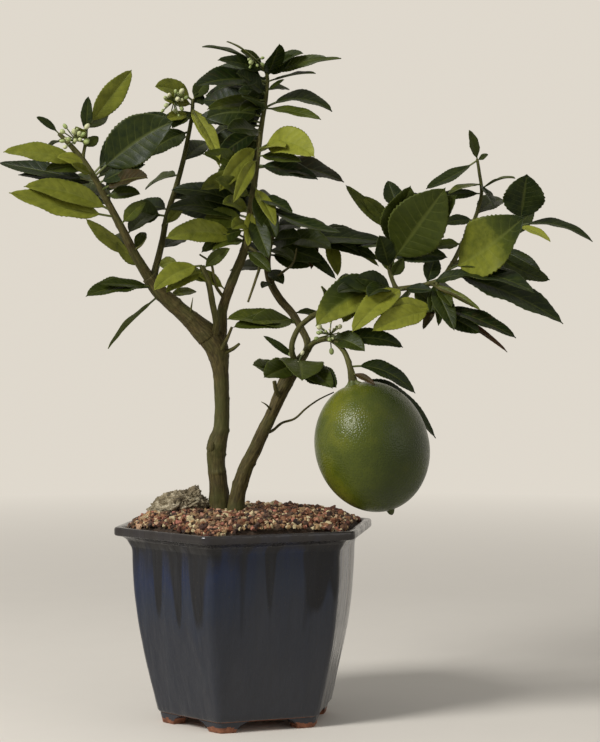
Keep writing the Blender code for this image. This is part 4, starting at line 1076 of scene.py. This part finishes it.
class Stem:
    """The axis of a tapering stem: a smooth curve through its waypoints, with a radius at each."""

    def __init__(self, points, radii, lead=None):
        self.points, self.radii = points, radii
        self.lead = lead if lead is not None else points[0] * 2 - points[1]

    def at(self, along):
        """Axis point and radius at a place counted in waypoints."""
        last = len(self.points) - 1
        i = min(int(along), last - 1)
        u = along - i
        before = self.points[i - 1] if i else self.lead
        a, b = self.points[i], self.points[i + 1]
        after = self.points[i + 2] if i + 2 <= last else b * 2 - a
        point = 0.5 * (2 * a + (b - before) * u + (2 * before - 5 * a + 4 * b - after) * u ** 2
                       + (3 * a - before - 3 * b + after) * u ** 3)
        return point, self.radii[i] + (self.radii[i + 1] - self.radii[i]) * u

    def direction(self, along):
        """Unit tangent of the axis."""
        low = max(along - 0.02, 0)
        high = min(along + 0.02, len(self.points) - 1)
        return (self.at(high)[0] - self.at(low)[0]).normalized()

    def even(self, spacing):
        """Axis points, radii and distances walked, at about even spacing."""
        fine = [self.at(i / 16) for i in range((len(self.points) - 1) * 16 + 1)]
        points = np.array([p for p, _ in fine])
        radii = np.array([r for _, r in fine])
        walked = np.append(0, np.cumsum(np.linalg.norm(np.diff(points, axis=0), axis=1)))
        stops = np.linspace(0, walked[-1], max(4, round(walked[-1] / spacing)))
        return (np.stack([np.interp(stops, walked, column) for column in points.T], axis=-1),
                np.interp(stops, walked, radii), stops)


def plan_stems():
    """The axes of all stems; one that goes on from its carrier's end starts a little inside it."""
    planned = {}
    for name, (carrier, place, waypoints) in STEMS.items():
        points = [Vector(w[:3]) for w in waypoints]
        radii = [w[3] for w in waypoints]
        lead = None
        if carrier and place == "end":
            parent = planned[carrier]
            heading = parent.direction(len(parent.points) - 1)
            points.insert(0, parent.points[-1] - heading * 0.8)
            radii.insert(0, parent.radii[-1])
            lead = points[0] - heading * 10
        elif carrier:
            points.insert(0, planned[carrier].at(place)[0])
            radii.insert(0, radii[0])
        planned[name] = Stem(points, radii, lead)
    return planned


def frames_along(points):
    """Two sideways directions at each point of a line, turning as little as possible."""
    tangents = unit(np.gradient(points, axis=0))
    side = unit(np.cross(tangents[0], (0, 1, 0.1)))
    sides = []
    for tangent in tangents:
        side = unit(side - tangent * np.dot(side, tangent))
        sides.append(side)
    return np.array(sides), np.cross(sides, tangents)


def tube(points, radii, walked, count, relief):
    """A tube's points and their grain; relief(grain, walked, turns) is the share that each radius gains."""
    side, other = frames_along(points)
    turns = turns_of(count)
    around = side[:, None] * np.cos(turns)[:, None] + other[:, None] * np.sin(turns)[:, None]
    grain = rings_of(turns, radii[:, None], walked[:, None])
    gain = relief(grain, walked, turns)
    return points[:, None] + around * (radii[:, None] * (1 + gain))[..., None], grain


def bark_relief(rng, shift, thick, length):
    """The relief of a stem's bark: long ridges, lumps, fine grain and the rings of old leaf scars."""
    scars = np.cumsum(rng.uniform(*SCAR_GAPS, 30))
    scars = scars[scars < length - 2]
    scar_turns = rng.uniform(0, math.tau, len(scars))

    def relief(grain, walked, turns):
        gain = 0.05 * noise_of(grain * (1, 1, 0.22), 0.35, shift)
        if thick:
            ridges = np.abs(noise_of(grain * (1, 1, 0.12), 0.85, shift + 3))
            gain = gain + 0.025 * (0.35 - ridges) + 0.06 * noise_of(grain, 0.2, shift + 9)
        gain = gain + 0.02 * noise_of(grain, 1.1, shift + 6)
        for scar, scar_turn in zip(scars, scar_turns):
            near = np.exp(-((1 - np.cos(turns - scar_turn)) / 0.35))
            gain = gain + bell(walked - scar, SCAR_REACH)[:, None] * (0.03 + (0.1 if thick else 0.2) * near)
        return gain

    return relief


def make_bark(planned, finish):
    """Every stem as a barked tube, swollen at its fork."""
    rng = np.random.default_rng(SEED + 1)
    for number, (name, (carrier, place, _)) in enumerate(STEMS.items()):
        kind = name.split("_")[0]
        thick = kind in THICK_SIDES
        sides = THICK_SIDES.get(kind, YOUNG_SIDES)
        points, radii, walked = planned[name].even(0.9 if thick else 1.1)
        shift = number * 17.0
        relief = bark_relief(rng, shift, thick, walked[-1])
        radii = radii + THICKER.get(name, 0)
        if carrier and place != "end":
            first, parent_radius = planned[name].radii[0], planned[carrier].at(place)[1]
            radii += 0.5 * first * bell(walked, parent_radius * 1.5)
        fork = {"limb_left": 0, "trunk_left": walked[-1] - FORK_BEFORE_END}.get(name)
        if fork is not None:
            radii += FORK_SWELL * bell(walked - fork, FORK_REACH)
        if kind == "trunk":
            above = points[:, 2] - (GRAVEL_EDGE + GRAVEL_RISE)
            radii += ROOT_FLARE * np.exp(-np.maximum(above, 0) / ROOT_FLARE_RISE)
        surface, grain = tube(points, radii, walked, sides, relief)
        young = np.interp(-radii, -np.array(GREEN_RADII), (0, 0.9)) + 0.12 * (name == "fruit_stalk")
        skin = Skin()
        skin.add_rings(surface, grain=grain.reshape(-1, 3) + (shift, 0, 0), young=np.repeat(young, sides))
        if name == "trunk_left":
            add_knot(skin, shift)
        skin.build(f"bark_{name}", [finish], [name], material_slot="bark" if thick else "young_bark")


def add_knot(skin, shift):
    """An old pruning scar: a rolled lip round a sunken eye."""
    centre, heading, radius = map(np.array, KNOT)
    heading = unit(heading)
    side = unit(np.cross(heading, (0, 0, 1)))
    up = np.cross(side, heading)
    turns = turns_of(36)[:, None]
    rings = []
    for share, out in KNOT_RINGS:
        ring = (side * np.cos(turns) + up * np.sin(turns) * 1.15) * radius * share
        ring = centre + ring + heading * out
        rings.append(ring + heading * (noise_of(ring, 0.5, shift) * 0.35)[:, None])
    surface = np.array(rings)
    skin.add_rings(surface, grain=surface.reshape(-1, 3), young=0.0)


def make_spurs(bark):
    """Thorns, cut spurs and bare twigs."""
    for number, (name, (waypoints, foot, tip)) in enumerate(SPURS.items()):
        stem = Stem([Vector(w) for w in waypoints], np.linspace(foot, tip, len(waypoints)))
        shift = 400 + number * 13.0
        surface, grain = tube(*stem.even(0.7), 14,
                              lambda g, w, t: 0.08 * noise_of(g * (1, 1, 0.5), 0.9, shift))
        skin = Skin()
        young = 0.9 if "thorn" in name or "top" in name else 0.35
        skin.add_rings(surface, grain=grain.reshape(-1, 3) + (shift, 0, 0), young=young)
        skin.build(name, [bark])


# ---------------------------------------------------------------- leaves

def leaf_skin(root, seat, tip, width, facing, lift, tone, petiole_part, rng):
    """A leaf: its stalk, from the stem's axis out of wood of the radius seat, and its toothed blade."""
    root, tip = np.array(root, float), np.array(tip, float)
    length = float(np.linalg.norm(tip - root))
    middle = (root + tip) / 2 + (0, 0, 2 * lift)
    rows = int(np.clip(length * 1.1, 20, 50))
    half_columns = 8 if width > 9 else 6
    s = np.linspace(0, 1, rows)[:, None]
    spine = root * (1 - s) ** 2 + middle * 2 * s * (1 - s) + tip * s ** 2
    tangent = unit((middle - root) * 2 * (1 - s) + (tip - middle) * 2 * s)
    across = unit(np.cross(tangent, np.array(facing, float)))
    up = np.cross(across, tangent)
    share = np.clip((s - seat / length) / (1 - seat / length), 0, 1)
    blade = np.clip((share - petiole_part) / (1 - petiole_part), 0, 1)
    opened = smooth_step(blade / 0.1)
    turn = rng.normal(0, 0.16) * blade + rng.normal(0, 0.05)
    across, up = across * np.cos(turn) + up * np.sin(turn), up * np.cos(turn) - across * np.sin(turn)

    # Outline: columns from the left margin (v = -1) to the right one (v = 1)
    stalk = PETIOLE * min(1.0, 0.45 + width / 26)
    widest = max(width / 2 - stalk, 0.5)
    half = stalk + widest * np.sin(math.pi * blade ** 0.85) ** 0.85
    half *= 1 - 0.93 * smooth_step((blade - 0.93) / 0.07)
    teeth = TOOTH * np.cos(math.tau * blade * length / TOOTH_PITCH) * opened
    v = np.sin(np.linspace(-1, 1, 2 * half_columns + 1) * math.pi / 2)
    v = 0.5 * v + 0.5 * np.linspace(-1, 1, len(v))
    off_axis = np.abs(v)
    reach = half * v * (1 + teeth * off_axis ** 6)

    # Relief: cupped halves, wavy margin, quilting between the veins, midrib groove, drooping tip
    fold = LEAF_CUP * rng.uniform(0.7, 1.25)
    waves = rng.uniform(1.6, 2.8)
    phases = rng.uniform(0, math.tau, 2)
    edge = np.sin(math.tau * waves * blade + np.where(v < 0, *phases))
    quilt = np.abs(np.sin(math.pi * VEIN_PAIRS * (blade - VEIN_SLANT * off_axis)))
    quilt = quilt * off_axis * (1 - off_axis) * 4
    rise = half * (fold * off_axis ** 1.25 + 0.07 * edge * off_axis ** 2.5)
    rise = rise + (0.22 * quilt * np.minimum(half / 6, 1.2) - 0.25 * bell(v, 0.09)) * opened
    rise = rise - 0.035 * length * blade ** 3 * (0.5 + rng.uniform(-0.5, 0.8))
    thick = np.sqrt(np.maximum(1 - v ** 2, 0)) * stalk * (1 - opened)
    thick = thick + BLADE_THICK / 2 * (1 - 0.6 * v ** 8) * opened
    thick[:, 0] = thick[:, -1] = 0
    rib = 0.55 * bell(v, 0.1) * opened * (1 - blade) * min(1, width / 14)

    flat = spine[:, None] + across[:, None] * reach[..., None]
    top = flat + up[:, None] * (rise + thick)[..., None]
    bottom = flat + up[:, None] * (rise - thick - rib)[..., None]
    rings = np.concatenate([top, bottom[:, -2:0:-1]], axis=1)
    uv_side = (np.concatenate([v, v[-2:0:-1]]) + 1) / 2
    uv = np.stack(np.broadcast_arrays(blade, uv_side), axis=-1)
    # Tone per point: partly the leaf's own colour, partly painted light and shade; halves toned apart paint
    # one half lit and the other shaded
    left, right, end = tone if isinstance(tone, tuple) else (tone, tone, tone)
    tones = left + (right - left) * smooth_step(uv[..., 1] * 3 - 1)
    tones = tones + (end - tones) * smooth_step(uv[..., 0] * 2 - 0.9)
    columns = rings.shape[1]
    row_of, column_of = np.divmod(np.arange((rows - 1) * columns), columns)
    slots = np.where(column_of < 2 * half_columns, 0, 1)
    slots = np.where(blade[row_of + 1, 0] <= 0, 2, slots)
    skin = Skin()
    skin.add_rings(rings, slots.tolist() + [2, 1], uv=uv.reshape(-1, 2),
                   tone=tones.ravel() + rng.uniform(-0.04, 0.04))
    return skin


def make_leaves(planned, finishes):
    """The large leaves in place of the part's, and the small ones between them."""
    rng = np.random.default_rng(SEED + 2)
    for table, prefix, petiole_part in ((LEAVES, "foliage", PETIOLE_PART),
                                        (SMALL_LEAVES, "small_leaf", SMALL_PETIOLE_PART)):
        for stem_name, rows in table.items():
            for number, (place, *form) in enumerate(rows, 1):
                stem = planned[stem_name]
                root, seat = stem.at(min(place, len(stem.points) - 1.0))
                skin = leaf_skin(root, seat, *form, petiole_part, rng)
                replaced = [f"leaf_{stem_name}_{number}"] if table is LEAVES else []
                skin.build(f"{prefix}_{stem_name}_{number}", finishes, replaced, material_slot="leaf")


def make_buds(stalk, bud):
    """Clusters of flower buds on short stalks."""
    rng = np.random.default_rng(SEED + 3)
    for name, (middle, spread, count) in BUDS.items():
        skin = Skin()
        middle = np.array(middle, float)
        for _ in range(count):
            way = unit(rng.normal(size=3) + (0, -0.4, 0.5))
            end = middle + way * spread * rng.uniform(0.35, 1.0)
            points = np.linspace(0, 1, 6)[:, None] * (end - middle) + middle
            skin.add_rings(tube(points, np.full(6, 0.35), np.arange(6.0), 8, lambda g, w, t: 0)[0])
            size = rng.uniform(0.6, 1.4)
            long = size * rng.uniform(1.1, 1.6)
            swing = np.linspace(0.15, math.pi - 0.1, 9)
            line = end + way * (long * (1 - np.cos(swing)))[:, None]
            surface, _ = tube(line, size * np.sin(swing), swing, 12, lambda g, w, t: 0.06 * np.cos(5 * t))
            skin.add_rings(surface, slot=1)
        skin.build(name, [stalk, bud])


# ---------------------------------------------------------------- stage

def make_lamp(name, place, size, power):
    """A large soft lamp."""
    data = bpy.data.lights.new(name, "AREA")
    data.shape = "DISK"
    data.size = size
    data.energy = power
    lamp = bpy.data.objects.new(name, data)
    lamp.location = place
    lamp.rotation_euler = (Vector(LAMP_TARGET) - Vector(place)).to_track_quat("-Z", "Y").to_euler()
    bpy.context.scene.collection.objects.link(lamp)


def make_world():
    """A pale surround for the camera and for reflections, and a dimmer fill for the rest."""
    world = bpy.data.worlds.new("surround")
    bpy.context.scene.world = world
    sky = Nodes(world)
    fill = sky.tree.nodes["Background"]
    sky.fill(fill, {"Color": (1, 1, 1, 1), "Strength": FILL_STRENGTH})
    shown = sky.add("Background", {"Color": rgba(PALE), "Strength": 1.0})
    rays = sky.add("LightPath").outputs
    seen = sky.calc("MAXIMUM", rays["Is Camera Ray"], rays["Is Glossy Ray"])
    seen = sky.calc("MAXIMUM", seen, rays["Is Transmission Ray"])
    mix = sky.add("MixShader", {0: seen, 1: fill.outputs[0], 2: shown.outputs[0]})
    sky.fill(sky.tree.nodes["World Output"], {"Surface": mix.outputs[0]})


def make_floor():
    """A plain pale floor, which fades into the surround far from the pot."""
    made = Finish("floor", Roughness=0.8, Specular_IOR_Level=0.2)
    made.paint([c * 0.97 for c in PALE], (made.spots(30, 3), PALE))
    far = made.add("VectorMath", {0: made.place}, operation="LENGTH").outputs["Value"]
    glow = made.add("Emission", {"Color": rgba(PALE), "Strength": 1.0})
    mix = made.add("MixShader", {0: made.mapped(far, *FLOOR_FADE), 1: made.shader.outputs[0],
                                 2: glow.outputs[0]})
    made.fill(made.tree.nodes["Material Output"], {"Surface": mix.outputs[0]})
    bpy.ops.mesh.primitive_circle_add(vertices=96, radius=FLOOR_RADIUS, fill_type="NGON")
    floor = bpy.context.object
    floor.name = "floor"
    floor.data.materials.append(made.material)


def make_camera():
    """The camera in front of the pot, a little above it."""
    data = bpy.data.cameras.new("camera")
    data.lens = CAMERA_LENS
    camera = bpy.data.objects.new("camera", data)
    camera.location = Vector(ORIGIN) + Vector(CAMERA_PLACE)
    camera.rotation_euler = (math.pi / 2 - CAMERA_DIP, 0, 0)
    bpy.context.scene.collection.objects.link(camera)
    bpy.context.scene.camera = camera


def main():
    """Build every piece, and the stage round them."""
    stalk, bark, soil = stalk_finish(), bark_finish(), soil_finish()
    for name in ("soil", "gravel"):
        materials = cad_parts[name].data.materials
        materials.clear()
        materials.append(soil)
    make_pot(glaze_finish(), clay_finish())
    make_gravel(granule_finish())
    make_rock(rock_finish())
    make_lemon(lemon_finish(), soil)
    make_calyx(stalk)
    planned = plan_stems()
    make_bark(planned, bark)
    make_spurs(bark)
    make_leaves(planned, [leaf_finish("leaf_upper", UPPER_TONE_AND_LIGHT_COLOURS, 0.22, 0.4),
                          leaf_finish("leaf_under", UNDER_TONE_AND_LIGHT_COLOURS, 0.5, 0.55), stalk])
    make_buds(stalk, bud_finish())
    make_world()
    make_floor()
    for name, lamp in LAMPS.items():
        make_lamp(name, *lamp)
    make_camera()
    bpy.context.scene.view_settings.view_transform = "Standard"


main()
bpy.context.view_layer.update()
